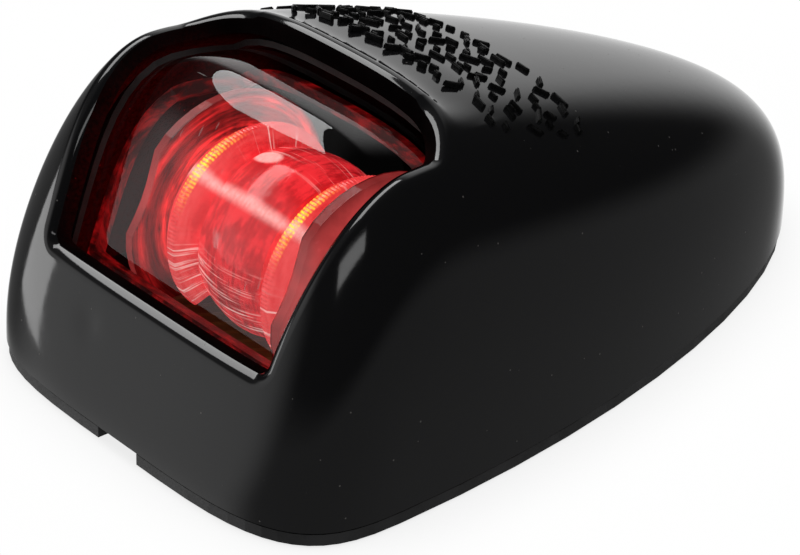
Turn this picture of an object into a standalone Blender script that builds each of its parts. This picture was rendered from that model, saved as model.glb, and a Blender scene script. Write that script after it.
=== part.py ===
"""A compact side light for a small boat: black lift-off cover, clear window, red drum lens and one LED."""

import math

import bmesh
import bpy
from mathutils import Matrix, Vector

MM = 0.001

# Overall size of the light. The front, with the window, faces -Y and the base lies on Z = 0.
LENGTH = 70.0 * MM
WIDTH = 41.6 * MM
HEIGHT = 28.7 * MM
HALF_LENGTH = LENGTH / 2
HALF_WIDTH = WIDTH / 2

# Plan outline: a blunt superellipse ahead of the widest point and a tapered one behind it.
WIDEST_Y = -21.3 * MM
FRONT_POWER = 3.95
REAR_POWER = 1.9

# Side profile: the roof peaks over the lamp, falls steeply to the nose and gently to the tail.
PEAK_Y = -19.5 * MM
NOSE_HEIGHT = 5.0 * MM
TAIL_HEIGHT = 16.4 * MM
PEAK_SOFTNESS = 3.0 * MM
SECTION_POWER = 3.4

# Cover wall and window opening.
WALL = 1.8 * MM
FOOT_Z = 1.3 * MM
SILL_Z = 11.2 * MM
RIM_Y = -13.5 * MM
EDGE_ROUND = 1.2 * MM
LARGEST_ROUND = 1.6 * MM
PIVOT_Y = RIM_Y + EDGE_ROUND / 2
PIVOT_Z = SILL_Z - EDGE_ROUND / 2
SIDE_AT_SILL = 14.0 * MM
SIDE_GROWTH = 1.2 * MM
SIDE_SWELL = 1.4 * MM
CORNER_ROUND = 1.6 * MM
CHEEK_ROLL = 0.2 * MM
CHEEK_WIDTH = 3.0 * MM
ROLL_FRONT_Y = -33.0 * MM
ROLL_FRONT_EASE = 6.0 * MM
ROLL_REAR_Y = -9.5 * MM
ROLL_REAR_EASE = 3.0 * MM
ROOF_END_Y = 22.0 * MM
ROOF_END_HALF = 5.5 * MM
VALLEY_DEPTH = 0.25 * MM

# Stack behind the cover wall, as depths below the outer skin.
GAP = 0.3 * MM
SEAL_DEPTH = WALL + 0.45 * MM
SEAL_THICKNESS = 0.5 * MM
LENS_DEPTH = SEAL_DEPTH + SEAL_THICKNESS + GAP
LENS_THICKNESS = 1.3 * MM
FRAME_DEPTH = LENS_DEPTH + LENS_THICKNESS + GAP
FRAME_THICKNESS = 1.1 * MM
LENS_OVERLAP = 0.4 * MM
SEAL_BAR = 1.3 * MM
FRAME_BAR = 1.0 * MM
WINDOW_REACH = 18.0 * MM

# Raised marking bars behind the window.
MARK_ROWS = 4
MARK_FIRST_Y = -7.1 * MM
MARK_PITCH = 2.63 * MM
MARK_HALF_SPAN = 13.4 * MM
MARK_COUNT = 9
MARK_WIDTH = 0.95 * MM
MARK_RISE = 0.35 * MM
MARK_SINK = 0.5 * MM

# Base plate.
RIM_BOTTOM = 0.15 * MM
RIM_TOP = FOOT_Z - 0.2 * MM
RIM_INSET = 0.15 * MM
PRY_NOTCH_HALF = 2.4 * MM
PRY_NOTCH_DEPTH = 1.2 * MM
FLOOR_TOP = 1.9 * MM
SPIGOT_TOP = 4.2 * MM
SPIGOT_INSET = WALL + 0.45 * MM
SPIGOT_WALL = 1.35 * MM
GASKET_OUTER_INSET = 3.0 * MM
GASKET_WIDTH = 1.6 * MM
GASKET_TOP = 0.8 * MM
SCREW_HOLE_RADIUS = 1.6 * MM
CORD_GROOVE = 1.2 * MM
FIXING_POINTS = ((-13.7 * MM, -18.0 * MM), (13.7 * MM, -18.0 * MM), (0.0, 25.6 * MM))
FIXING_BOSS_RADIUS = 2.6 * MM
FIXING_BOSS_TOP = 3.2 * MM

# Circuit board, on four posts.
BOARD_HALF = 11.0 * MM
BOARD_FRONT_Y = -28.5 * MM
BOARD_REAR_Y = 5.2 * MM
BOARD_BOTTOM = 4.0 * MM
BOARD_TOP = 5.2 * MM
SEAT_Z = BOARD_TOP + GAP
SOLDER_TOP = BOARD_TOP + 0.2 * MM
FRONT_POST = (8.8 * MM, -26.7 * MM)
REAR_POST = (4.6 * MM, -7.5 * MM)
POST_RADIUS = 1.9 * MM
SCREW_RADIUS = 0.8 * MM
SCREW_CLEARANCE = 1.1 * MM
HEAD_RADIUS = 1.6 * MM
HEAD_HEIGHT = 1.1 * MM

# Lamp: the drum lens turns about a line along X through this centre, and the LED faces up and forward.
LAMP_Y = -17.35 * MM
LAMP_Z = 11.7 * MM
LAMP_TILT = math.radians(55)
DRUM_ARC = math.radians(195)
DRUM_START = LAMP_TILT - DRUM_ARC / 2
DRUM_RADIUS = 8.05 * MM
DRUM_BORE = 5.1 * MM
DRUM_HALF = 7.9 * MM
CHEEK_INNER = 8.4 * MM
CHEEK_OUTER = 9.3 * MM
CHEEK_RADIUS = 9.6 * MM
CHEEK_CLEARANCE = 0.6 * MM
HUB_RADIUS = DRUM_BORE - GAP

# Cable, through the floor behind the board.
CABLE_Y = 18.0 * MM
CABLE_RADIUS = 2.2 * MM
CABLE_RUN_Z = 7.5 * MM
CABLE_BEND = 4.2 * MM
CABLE_END_Y = 9.4 * MM
CLAMP_Y = 11.6 * MM
CLAMP_HALF_DEPTH = 1.5 * MM
WIRE_RADIUS = 0.75 * MM
WIRE_EXIT_X = 1.0 * MM
CLAMP_SCREW_X = 5.3 * MM
CLAMP_EAR_HALF = 7.0 * MM
CLAMP_EAR_TOP = CABLE_RUN_Z - CABLE_RADIUS + 1.0 * MM
GROMMET_NECK = 3.1 * MM
PAD_X = 2.3 * MM
PAD_Y = 3.4 * MM


def clear_scene():
    for thing in list(bpy.data.objects):
        bpy.data.objects.remove(thing, do_unlink=True)


def new_collection(name):
    group = bpy.data.collections.new(name)
    bpy.context.scene.collection.children.link(group)
    return group


def material(name, colour, roughness, metallic=0.0):
    made = bpy.data.materials.new(name)
    made.use_nodes = True
    shader = made.node_tree.nodes["Principled BSDF"]
    shader.inputs["Base Color"].default_value = (*colour, 1.0)
    shader.inputs["Roughness"].default_value = roughness
    shader.inputs["Metallic"].default_value = metallic
    return made


def finish(name, mesh_data, look, smooth_angle=35):
    """Link a closed mesh as one named piece."""
    piece = bpy.data.objects.new(name, mesh_data)
    PIECES.objects.link(piece)
    mesh_data.materials.clear()
    mesh_data.materials.append(look)
    mesh_data.shade_smooth()
    mesh_data.set_sharp_from_angle(angle=math.radians(smooth_angle))
    return piece


def mesh_from(shape, name="shape"):
    bmesh.ops.remove_doubles(shape, verts=shape.verts, dist=1e-6)
    bmesh.ops.recalc_face_normals(shape, faces=shape.faces)
    made = bpy.data.meshes.new(name)
    shape.to_mesh(made)
    shape.free()
    return made


def combine(base, operation, tools):
    """Join tools to a mesh, or cut them from it, one after another."""
    for tool in tools:
        body = bpy.data.objects.new("body", base)
        cutter = bpy.data.objects.new("cutter", tool)
        CUTTERS.objects.link(body)
        CUTTERS.objects.link(cutter)
        change = body.modifiers.new("change", "BOOLEAN")
        change.operation = operation
        change.solver = "EXACT"
        change.object = cutter
        bpy.context.view_layer.update()
        seen = body.evaluated_get(bpy.context.evaluated_depsgraph_get())
        base = bpy.data.meshes.new_from_object(seen)
        bpy.data.objects.remove(body, do_unlink=True)
        bpy.data.objects.remove(cutter, do_unlink=True)
    return base


def box(low, high, bevel=0.0):
    shape = bmesh.new()
    bmesh.ops.create_cube(shape, size=1.0)
    size = Vector(high) - Vector(low)
    centre = (Vector(high) + Vector(low)) / 2
    bmesh.ops.scale(shape, vec=size, verts=shape.verts)
    bmesh.ops.translate(shape, vec=centre, verts=shape.verts)
    if bevel:
        bmesh.ops.bevel(shape, geom=shape.edges[:], offset=bevel, segments=1, affect="EDGES")
    return mesh_from(shape)


def prism(outline, low, high, axis="Z"):
    """Extrude a closed outline along Z, or along X from points given as (y, z)."""
    shape = bmesh.new()
    if axis == "Z":
        corners = [shape.verts.new((a, b, low)) for a, b in outline]
        travel = Vector((0, 0, high - low))
    else:
        corners = [shape.verts.new((low, a, b)) for a, b in outline]
        travel = Vector((high - low, 0, 0))
    face = shape.faces.new(corners)
    raised = bmesh.ops.extrude_face_region(shape, geom=[face])
    moved = [item for item in raised["geom"] if isinstance(item, bmesh.types.BMVert)]
    bmesh.ops.translate(shape, vec=travel, verts=moved)
    return mesh_from(shape)


def band(outer, inner, low, high):
    """A closed ring of rectangular section between two outlines."""
    shape = bmesh.new()
    rows = [[shape.verts.new((x, y, z)) for x, y in line] for line, z in
            ((outer, low), (outer, high), (inner, high), (inner, low))]
    join_rows(shape, rows + rows[:1], True)
    return mesh_from(shape)


def join_rows(shape, rows, closed):
    """Skin neighbouring rows of points with four-sided faces."""
    for near, far in zip(rows, rows[1:]):
        steps = len(near) if closed else len(near) - 1
        for i in range(steps):
            after = (i + 1) % len(near)
            shape.faces.new((near[i], near[after], far[after], far[i]))


def turned(profile, centre, steps=24):
    """A ring or a solid turned about the vertical through centre, from (radius, height) points."""
    shape = bmesh.new()
    rows = []
    for i in range(steps):
        turn = 2 * math.pi * i / steps
        rows.append([shape.verts.new((centre[0] + r * math.cos(turn), centre[1] + r * math.sin(turn), z))
                     for r, z in profile])
    for i in range(steps):
        here = rows[i]
        there = rows[(i + 1) % steps]
        for j in range(len(profile)):
            k = (j + 1) % len(profile)
            if profile[j][0] == 0 and profile[k][0] == 0:
                continue
            shape.faces.new((here[j], here[k], there[k], there[j]))
    bmesh.ops.remove_doubles(shape, verts=shape.verts, dist=1e-7)
    bmesh.ops.dissolve_degenerate(shape, edges=shape.edges[:], dist=1e-7)
    return mesh_from(shape)


def peg(centre, radius, low, high, steps=20):
    return turned(((0, low), (radius, low), (radius, high), (0, high)), centre, steps)


def rod(points, radius, name, look, sides=1):
    """A round wire through points, with flat ends."""
    line = bpy.data.curves.new(name, "CURVE")
    line.dimensions = "3D"
    line.bevel_depth = radius
    line.bevel_resolution = sides
    line.use_fill_caps = True
    spline = line.splines.new("POLY")
    spline.points.add(len(points) - 1)
    for spot, place in zip(spline.points, points):
        spot.co = (*place, 1)
    holder = bpy.data.objects.new("line", line)
    CUTTERS.objects.link(holder)
    bpy.context.view_layer.update()
    seen = holder.evaluated_get(bpy.context.evaluated_depsgraph_get())
    made = bpy.data.meshes.new_from_object(seen)
    bpy.data.objects.remove(holder, do_unlink=True)
    shape = bmesh.new()
    shape.from_mesh(made)
    return finish(name, mesh_from(shape), look)


# ---------------------------------------------------------------- outer skin

INSIDE_Z = 5.0 * MM
FARTHEST = 50.0 * MM
UP = Vector((0, 0, 1))

def roof_height(y):
    if y < PEAK_Y:
        reach = (PEAK_Y - y) / (PEAK_Y + HALF_LENGTH)
        return HEIGHT - (HEIGHT - NOSE_HEIGHT) * min(reach, 1.0) ** 2
    full = math.hypot(HALF_LENGTH - PEAK_Y, PEAK_SOFTNESS) - PEAK_SOFTNESS
    fall = math.hypot(y - PEAK_Y, PEAK_SOFTNESS) - PEAK_SOFTNESS
    return HEIGHT - (HEIGHT - TAIL_HEIGHT) * fall / full


def plan_gauge(x, y):
    """0 at the middle of the plan and 1 on its outline."""
    ahead = y < WIDEST_Y
    power = FRONT_POWER if ahead else REAR_POWER
    reach = WIDEST_Y + HALF_LENGTH if ahead else HALF_LENGTH - WIDEST_Y
    return (abs(x / HALF_WIDTH) ** power + abs((y - WIDEST_Y) / reach) ** power) ** (1 / power)


def skin_value(point):
    """Below 1 inside the skin, above 1 outside it."""
    x, y, z = point
    return plan_gauge(x, y) ** SECTION_POWER + (abs(z) / roof_height(y)) ** SECTION_POWER


def skin_normal(point):
    step = 0.02 * MM
    slope = []
    for axis in range(3):
        ahead = Vector(point)
        behind = Vector(point)
        ahead[axis] += step
        behind[axis] -= step
        slope.append(skin_value(ahead) - skin_value(behind))
    return Vector(slope).normalized()


def ease(share):
    """A smooth step from 0 to 1."""
    share = min(max(share, 0.0), 1.0)
    return share * share * (3 - 2 * share)


def opening_half(around):
    """Half the opening's width, from its sill at 0 to its rim at 1; it swells between them."""
    share = min(max(around, 0.0), 1.0)
    swell = max(math.sin(math.pi * share ** 1.4), 0.0) ** 1.5
    return SIDE_AT_SILL + SIDE_GROWTH * share + SIDE_SWELL * swell


def roll(point):
    """How far the skin is rolled down towards the sides of the window."""
    around = math.atan2(point.z - PIVOT_Z, PIVOT_Y - point.y) / (math.pi / 2)
    edge = opening_half(around)
    across = abs(point.x)
    if across < edge:
        side = (across / edge) ** 4
    else:
        side = (max(edge + CHEEK_WIDTH - across, 0.0) / CHEEK_WIDTH) ** 2
    front = ease((point.y - ROLL_FRONT_Y) / ROLL_FRONT_EASE)
    rear = ease((ROLL_REAR_Y - point.y) / ROLL_REAR_EASE)
    return CHEEK_ROLL * side * front * rear


def below(point, depth=0.0):
    """The place at a depth under a point of the unrolled skin."""
    return point - skin_normal(point) * (roll(point) + depth)


def cast(start, direction):
    """Where a ray from inside meets the skin."""
    near = 0.0
    far = FARTHEST
    for _ in range(40):
        middle = (near + far) / 2
        if skin_value(start + direction * middle) < 1:
            near = middle
        else:
            far = middle
    return start + direction * near


def meridian(point, share):
    """The point a share of the way down the skin from a point on it to the cover's foot."""
    gauge = plan_gauge(point.x, point.y)
    edge_x = point.x / gauge
    edge_y = WIDEST_Y + (point.y - WIDEST_Y) / gauge
    top = math.acos(min(gauge ** (SECTION_POWER / 2), 1.0))
    foot = 0.0
    for _ in range(12):
        y = WIDEST_Y + (edge_y - WIDEST_Y) * math.cos(foot) ** (2 / SECTION_POWER)
        foot = math.asin((FOOT_Z / roof_height(y)) ** (SECTION_POWER / 2))
    angle = top + (foot - top) * share
    scale = math.cos(angle) ** (2 / SECTION_POWER)
    y = WIDEST_Y + (edge_y - WIDEST_Y) * scale
    return Vector((edge_x * scale, y, roof_height(y) * math.sin(angle) ** (2 / SECTION_POWER)))


def outline(height, inset, count=56):
    """The skin's plan section at a height, moved in so that it lies inset behind the sloping skin."""
    points = []
    for i in range(count):
        turn = 2 * math.pi * (i + 0.5) / count
        power = REAR_POWER if math.sin(turn) > 0 else FRONT_POWER
        reach = HALF_LENGTH - WIDEST_Y if math.sin(turn) > 0 else WIDEST_Y + HALF_LENGTH
        x = math.copysign(abs(math.cos(turn)) ** (2 / power), math.cos(turn)) * HALF_WIDTH
        y = WIDEST_Y + math.copysign(abs(math.sin(turn)) ** (2 / power), math.sin(turn)) * reach
        scale = 1.0
        for _ in range(12):
            roof = roof_height(WIDEST_Y + (y - WIDEST_Y) * scale)
            scale = (1 - (height / roof) ** SECTION_POWER) ** (1 / SECTION_POWER)
        points.append(Vector((x * scale, WIDEST_Y + (y - WIDEST_Y) * scale)))
    moved = []
    for i, point in enumerate(points):
        along = (points[(i + 1) % count] - points[i - 1]).normalized()
        normal = skin_normal(Vector((point.x, point.y, height)))
        moved.append(point + Vector((-along.y, along.x)) * inset / math.hypot(normal.x, normal.y))
    return [(point.x, point.y) for point in moved]


def spread(count, near):
    """0 to 1 in count steps, with the first and last steps of length near."""
    inner = [near + (1 - 2 * near) * i / (count - 2) for i in range(count - 1)]
    return [0.0] + inner + [1.0]


# ---------------------------------------------------------------- cover

OPEN_COLUMNS = 12
OPEN_ROWS = 9
SKIRT_ROWS = 8
ROOF_ROWS_Y = (-12.4, -11.9, -11.3, -10.6, -9.6, -6.5, -2.5, 3.0, 9.0, 15.5, 22.0)
VALLEY_SHAPE = (0.9, 1.0, 0.8, 0.4)


def window_point(across, around, extra=0.0):
    """A point on the skin at -1..1 across the opening and 0..1 from its sill to its rim."""
    middle = Vector((across * (opening_half(around) + extra), PIVOT_Y, PIVOT_Z))
    angle = around * math.pi / 2
    return cast(middle, Vector((0, -math.cos(angle), math.sin(angle))))


def opening_grid_lines():
    corner = CORNER_ROUND / SIDE_AT_SILL / 2
    columns = [2 * share - 1 for share in spread(OPEN_COLUMNS, corner)]
    rows = spread(OPEN_ROWS, 0.055)
    return columns, rows


def opening_loop():
    """Points round the window on the skin: (rolled point, normal, direction in, plain point, lean)."""
    columns, rows = opening_grid_lines()
    nudge_x = 0.3 * CORNER_ROUND / SIDE_AT_SILL
    nudge_v = 0.3 * rows[1]
    loop = []

    def add(across, around, side, up):
        corner = side and up
        if corner:
            across -= math.copysign(nudge_x, across)
            around += nudge_v * up
        point = window_point(across, around)
        normal = skin_normal(point)
        climb = normal.cross(Vector((-1, 0, 0))).normalized()
        inward = Vector((-side, 0, 0)) + climb * up
        inward -= normal * inward.dot(normal)
        inward.normalize()
        step = 0.05 * MM
        lean = math.atan((roll(point) - roll(point - inward * step)) / step)
        loop.append((below(point), normal, inward, point, lean))

    for across in columns:
        add(across, 0.0, round(across) if abs(across) == 1 else 0, 1)
    for around in rows[1:-1]:
        add(1.0, around, 1, 0)
    for across in reversed(columns):
        add(across, 1.0, round(across) if abs(across) == 1 else 0, -1)
    for around in reversed(rows[1:-1]):
        add(-1.0, around, -1, 0)
    return loop


def cover_sheet(shape, depth, hole):
    """One skin of the cover round a given ring of opening points; returns its foot ring."""
    columns, rows = opening_grid_lines()
    count = len(columns)
    side = len(rows) - 2
    rim = list(reversed(hole[count + side:2 * count + side]))
    rim_half = opening_half(1.0)
    base_points = [rim]
    surface = [None]
    for index, row_y in enumerate(ROOF_ROWS_Y[1:]):
        y = row_y * MM
        share = (y - RIM_Y) / (ROOF_END_Y - RIM_Y)
        half = rim_half + (ROOF_END_HALF - rim_half) * share
        made = []
        spots = []
        for column, across in enumerate(columns):
            spot = cast(Vector((across * half, y, INSIDE_Z)), UP)
            normal = skin_normal(spot)
            sink = 0.0
            if depth == 0 and index < len(VALLEY_SHAPE) and 0 < column < count - 1:
                sink = VALLEY_SHAPE[index] * VALLEY_DEPTH
            made.append(shape.verts.new(below(spot, depth) - normal * sink))
            spots.append(spot)
        base_points.append(made)
        surface.append(spots)
    join_rows(shape, base_points, False)

    opening = [item[3] for item in opening_loop()]
    ring = []
    ring += list(zip(hole[:count + side], opening[:count + side]))
    ring.append((hole[count + side], opening[count + side]))
    for row in range(1, len(base_points)):
        ring.append((base_points[row][-1], surface[row][-1]))
    for column in range(count - 2, -1, -1):
        ring.append((base_points[-1][column], surface[-1][column]))
    for row in range(len(base_points) - 2, 0, -1):
        ring.append((base_points[row][0], surface[row][0]))
    ring.append((rim[0], opening[2 * count + side - 1]))
    ring += list(zip(hole[2 * count + side:], opening[2 * count + side:]))

    lines = [[vert for vert, _ in ring]]
    for row in range(1, SKIRT_ROWS + 1):
        line = []
        for _, spot in ring:
            lowered = below(meridian(spot, row / SKIRT_ROWS), depth)
            if row == SKIRT_ROWS:
                lowered.z = FOOT_Z
            line.append(shape.verts.new(lowered))
        lines.append(line)
    join_rows(shape, lines, True)
    return lines[-1]


def cover_shell():
    """The cover as a closed shell: outer skin, rounded opening edge, inner skin and foot."""
    shape = bmesh.new()
    loop = opening_loop()
    rounds = 3
    edge_rows = [[] for _ in range(rounds + 2)]
    for point, normal, inward, _, lean in loop:
        radius = min(EDGE_ROUND / (1 - math.sin(lean)), LARGEST_ROUND)
        for step in range(rounds + 1):
            bend = lean + (math.pi / 2 - lean) * step / rounds
            across = radius * (math.sin(bend) - math.sin(lean))
            down = radius * (math.cos(lean) - math.cos(bend))
            edge_rows[step].append(shape.verts.new(point + inward * across - normal * down))
        across = radius * (1 - math.sin(lean))
        edge_rows[-1].append(shape.verts.new(point + inward * across - normal * WALL))
    join_rows(shape, edge_rows, True)
    outer_foot = cover_sheet(shape, 0.0, edge_rows[0])
    inner_foot = cover_sheet(shape, WALL, edge_rows[-1])
    join_rows(shape, [outer_foot, inner_foot], True)
    return mesh_from(shape)


def marking_bars():
    """Short raised bars of mixed lengths in rows behind the window."""
    shape = bmesh.new()
    for row in range(MARK_ROWS):
        y = MARK_FIRST_Y + row * MARK_PITCH
        pitch = 2 * MARK_HALF_SPAN / MARK_COUNT
        for place in range(MARK_COUNT):
            x = -MARK_HALF_SPAN + (place + 0.5) * pitch
            length = pitch * (0.62 + 0.14 * math.sin(2.3 * place + 1.7 * row))
            spot = cast(Vector((x, y, INSIDE_Z)), UP)
            normal = skin_normal(spot)
            across = (Vector((1, 0, 0)) - normal * normal.x).normalized()
            frame = Matrix((across, normal.cross(across), normal)).transposed().to_4x4()
            lift = (MARK_RISE - MARK_SINK) / 2
            frame.translation = spot + normal * lift
            size = Matrix.Diagonal((length, MARK_WIDTH, MARK_RISE + MARK_SINK, 1))
            bmesh.ops.create_cube(shape, size=1.0, matrix=frame @ size)
    return mesh_from(shape)


def make_cover():
    look = material("cover_black", (0.012, 0.012, 0.013), 0.12)
    body = combine(cover_shell(), "UNION", [marking_bars()])
    return finish("cover", body, look)


def window_sheet(extra, low, high, columns, rows):
    """A grid of skin points over the window, from below the sill to behind the rim."""
    grid = []
    for j in range(rows + 1):
        around = low + (high - low) * j / rows
        grid.append([window_point(2 * i / columns - 1, around, extra) for i in range(columns + 1)])
    return grid


def window_plate(depth, thickness, columns=14, rows=12):
    """A curved plate that follows the skin over the window."""
    shape = bmesh.new()
    grid = window_sheet(LENS_OVERLAP, WINDOW_LOW, WINDOW_HIGH, columns, rows)
    top = [[shape.verts.new(below(point, depth)) for point in line] for line in grid]
    under = [[shape.verts.new(below(point, depth + thickness)) for point in line] for line in grid]
    join_rows(shape, top, False)
    join_rows(shape, under, False)
    join_rows(shape, [edge_of(top), edge_of(under)], True)
    return mesh_from(shape)


def edge_of(grid):
    return (grid[0] + [line[-1] for line in grid[1:-1]]
            + list(reversed(grid[-1])) + [line[0] for line in reversed(grid[1:-1])])


def window_band(bar, depth, thickness, columns=14, rows=12):
    """A frame of constant width that follows the skin round the window."""
    bar_turn = bar / WINDOW_REACH / (math.pi / 2)
    outer = edge_of(window_sheet(LENS_OVERLAP, WINDOW_LOW, WINDOW_HIGH, columns, rows))
    inner = edge_of(window_sheet(LENS_OVERLAP - bar, WINDOW_LOW + bar_turn, WINDOW_HIGH - bar_turn,
                                 columns, rows))
    shape = bmesh.new()
    lines = []
    under = depth + thickness
    for ring, level in ((outer, depth), (inner, depth), (inner, under), (outer, under)):
        lines.append([shape.verts.new(below(point, level)) for point in ring])
    join_rows(shape, lines + lines[:1], True)
    return mesh_from(shape)


WINDOW_LOW = -0.03
WINDOW_HIGH = 1.04


def make_window_stack():
    clear = material("window_clear", (0.62, 0.60, 0.60), 0.04)
    rubber = material("seal_rubber", (0.02, 0.02, 0.02), 0.7)
    frame = material("frame_black", (0.03, 0.03, 0.03), 0.5)
    seal = window_band(SEAL_BAR, SEAL_DEPTH, SEAL_THICKNESS)
    plate = window_plate(LENS_DEPTH, LENS_THICKNESS)
    ring = window_band(FRAME_BAR, FRAME_DEPTH, FRAME_THICKNESS)
    return [finish("window_seal", seal, rubber), finish("window_lens", plate, clear),
            finish("lens_frame", ring, frame)]


# ---------------------------------------------------------------- base

def make_base():
    black = material("base_black", (0.02, 0.02, 0.021), 0.45)
    foam = material("gasket_foam", (0.05, 0.05, 0.055), 0.9)
    rubber = material("cord_rubber", (0.015, 0.015, 0.015), 0.6)

    spigot_outer = outline(SPIGOT_TOP, SPIGOT_INSET)
    spigot_inner = outline(SPIGOT_TOP, SPIGOT_INSET + SPIGOT_WALL)
    body = prism(outline(RIM_TOP, RIM_INSET), RIM_BOTTOM, RIM_TOP)
    rise = prism(spigot_outer, RIM_BOTTOM + 0.4 * MM, SPIGOT_TOP)
    well = prism(spigot_inner, FLOOR_TOP, SPIGOT_TOP + MM)
    body = combine(body, "UNION", [rise])
    body = combine(body, "DIFFERENCE", [well])

    floor_mid = (RIM_BOTTOM + FLOOR_TOP) / 2
    adds = [peg(place, FIXING_BOSS_RADIUS, floor_mid, FIXING_BOSS_TOP) for place in FIXING_POINTS]
    for sign in (-1, 1):
        for x, y in (FRONT_POST, REAR_POST):
            adds.append(peg((sign * x, y), POST_RADIUS, floor_mid, BOARD_BOTTOM - GAP))
    pedestal_top = CABLE_RUN_Z - CABLE_RADIUS - GAP
    adds.append(box((-CLAMP_EAR_HALF, CLAMP_Y - CLAMP_HALF_DEPTH, floor_mid),
                    (CLAMP_EAR_HALF, CLAMP_Y + CLAMP_HALF_DEPTH, pedestal_top)))
    body = combine(body, "UNION", adds)

    cuts = []
    sink_radius = SCREW_HOLE_RADIUS * 1.5
    for place in FIXING_POINTS:
        profile = ((0, -MM), (SCREW_HOLE_RADIUS, -MM), (SCREW_HOLE_RADIUS, FIXING_BOSS_TOP - 0.8 * MM),
                   (sink_radius, FIXING_BOSS_TOP), (sink_radius, FIXING_BOSS_TOP + MM),
                   (0, FIXING_BOSS_TOP + MM))
        cuts.append(turned(profile, place, 20))
    for sign in (-1, 1):
        for x, y in (FRONT_POST, REAR_POST):
            cuts.append(peg((sign * x, y), SCREW_CLEARANCE, FLOOR_TOP, BOARD_BOTTOM + MM, 12))
        cuts.append(peg((sign * CLAMP_SCREW_X, CLAMP_Y), SCREW_CLEARANCE, FLOOR_TOP, pedestal_top + MM, 12))
    cuts.append(peg((0, CABLE_Y), GROMMET_NECK + GAP, -MM, FLOOR_TOP + MM))
    gasket_inner_inset = GASKET_OUTER_INSET + GASKET_WIDTH
    cuts.append(band(outline(0, GASKET_OUTER_INSET - GAP), outline(0, gasket_inner_inset + GAP),
                     -MM, GASKET_TOP + GAP))
    cord_low = FLOOR_TOP
    cord_high = cord_low + CORD_GROOVE
    slack = 0.15 * MM
    groove_floor = SPIGOT_INSET + 0.65 * MM
    cuts.append(band(outline(0, 0), outline(SPIGOT_TOP, groove_floor), cord_low, cord_high))
    cuts.append(box((-PRY_NOTCH_HALF, -HALF_LENGTH - MM, -MM),
                    (PRY_NOTCH_HALF, -HALF_LENGTH + PRY_NOTCH_DEPTH, FOOT_Z + MM)))
    body = combine(body, "DIFFERENCE", cuts)

    gasket = band(outline(0, GASKET_OUTER_INSET), outline(0, gasket_inner_inset), 0, GASKET_TOP)
    cord = band(outline(SPIGOT_TOP, SPIGOT_INSET - 0.2 * MM), outline(SPIGOT_TOP, groove_floor - slack),
                cord_low + slack, cord_high - slack)
    return [finish("base_plate", body, black), finish("base_gasket", gasket, foam),
            finish("cover_seal", cord, rubber)]


# ---------------------------------------------------------------- screws

def screw(name, centre, seat, tip, look):
    """A pan-head screw standing on a seat height, with a cross recess."""
    top = seat + HEAD_HEIGHT
    profile = ((0, tip), (SCREW_RADIUS * 0.5, tip), (SCREW_RADIUS, tip + 0.7 * MM), (SCREW_RADIUS, seat),
               (HEAD_RADIUS, seat), (HEAD_RADIUS, seat + HEAD_HEIGHT * 0.5),
               (HEAD_RADIUS * 0.75, top - 0.1 * MM), (0, top))
    body = turned(profile, centre, 16)
    arm = HEAD_RADIUS * 0.6
    half = 0.22 * MM
    deep = top - 0.6 * MM
    first = box((centre[0] - arm, centre[1] - half, deep), (centre[0] + arm, centre[1] + half, top + MM))
    second = box((centre[0] - half, centre[1] - arm, deep), (centre[0] + half, centre[1] + arm, top + MM))
    return finish(name, combine(body, "DIFFERENCE", [first, second]), look)


def make_screws():
    steel = material("screw_steel", (0.6, 0.6, 0.62), 0.3, 1.0)
    tip = FLOOR_TOP + GAP
    for side, sign in (("left", -1), ("right", 1)):
        screw("board_screw_" + side, (sign * FRONT_POST[0], FRONT_POST[1]), SEAT_Z, tip, steel)
        screw("carrier_screw_" + side, (sign * REAR_POST[0], REAR_POST[1]), BAR_TOP + GAP, tip, steel)
        screw("clamp_screw_" + side, (sign * CLAMP_SCREW_X, CLAMP_Y), CLAMP_EAR_TOP + GAP, tip, steel)


# ---------------------------------------------------------------- lamp

BAR_TOP = SEAT_Z + 1.7 * MM
FACING = Vector((0, -math.cos(LAMP_TILT), math.sin(LAMP_TILT)))
ALONG = Vector((0, math.sin(LAMP_TILT), math.cos(LAMP_TILT)))
LAMP_CENTRE = Vector((0, LAMP_Y, LAMP_Z))


def lamp_point(facing, along):
    """(y, z) at distances from the lamp's centre along and across its facing."""
    spot = LAMP_CENTRE + FACING * facing + ALONG * along
    return spot.y, spot.z


def arc_points(radius, start, end, steps):
    """(y, z) points round the lamp's centre; 0 faces forward and a quarter turn faces up."""
    points = []
    for i in range(steps + 1):
        angle = start + (end - start) * i / steps
        points.append((LAMP_Y - radius * math.cos(angle), LAMP_Z + radius * math.sin(angle)))
    return points


def drum_profile():
    """(x, radius) round the drum's section: a crowned barrel between two rings, with plain hubs."""
    barrel_half = 3.7 * MM
    crown = 7.6 * MM
    crown_drop = 0.75 * MM
    half = [(DRUM_HALF, DRUM_BORE), (DRUM_HALF, 6.1 * MM), (6.9 * MM, 6.2 * MM),
            (6.3 * MM, DRUM_RADIUS - 0.25 * MM), (6.0 * MM, DRUM_RADIUS), (5.3 * MM, DRUM_RADIUS),
            (4.4 * MM, 6.1 * MM), (3.95 * MM, 5.95 * MM)]
    steps = 4
    for i in range(steps):
        x = barrel_half * (1 - i / steps)
        half.append((x, crown - crown_drop * (x / barrel_half) ** 2))
    mirrored = [(-x, r) for x, r in reversed(half)]
    return half + [(0.0, crown)] + mirrored


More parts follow.
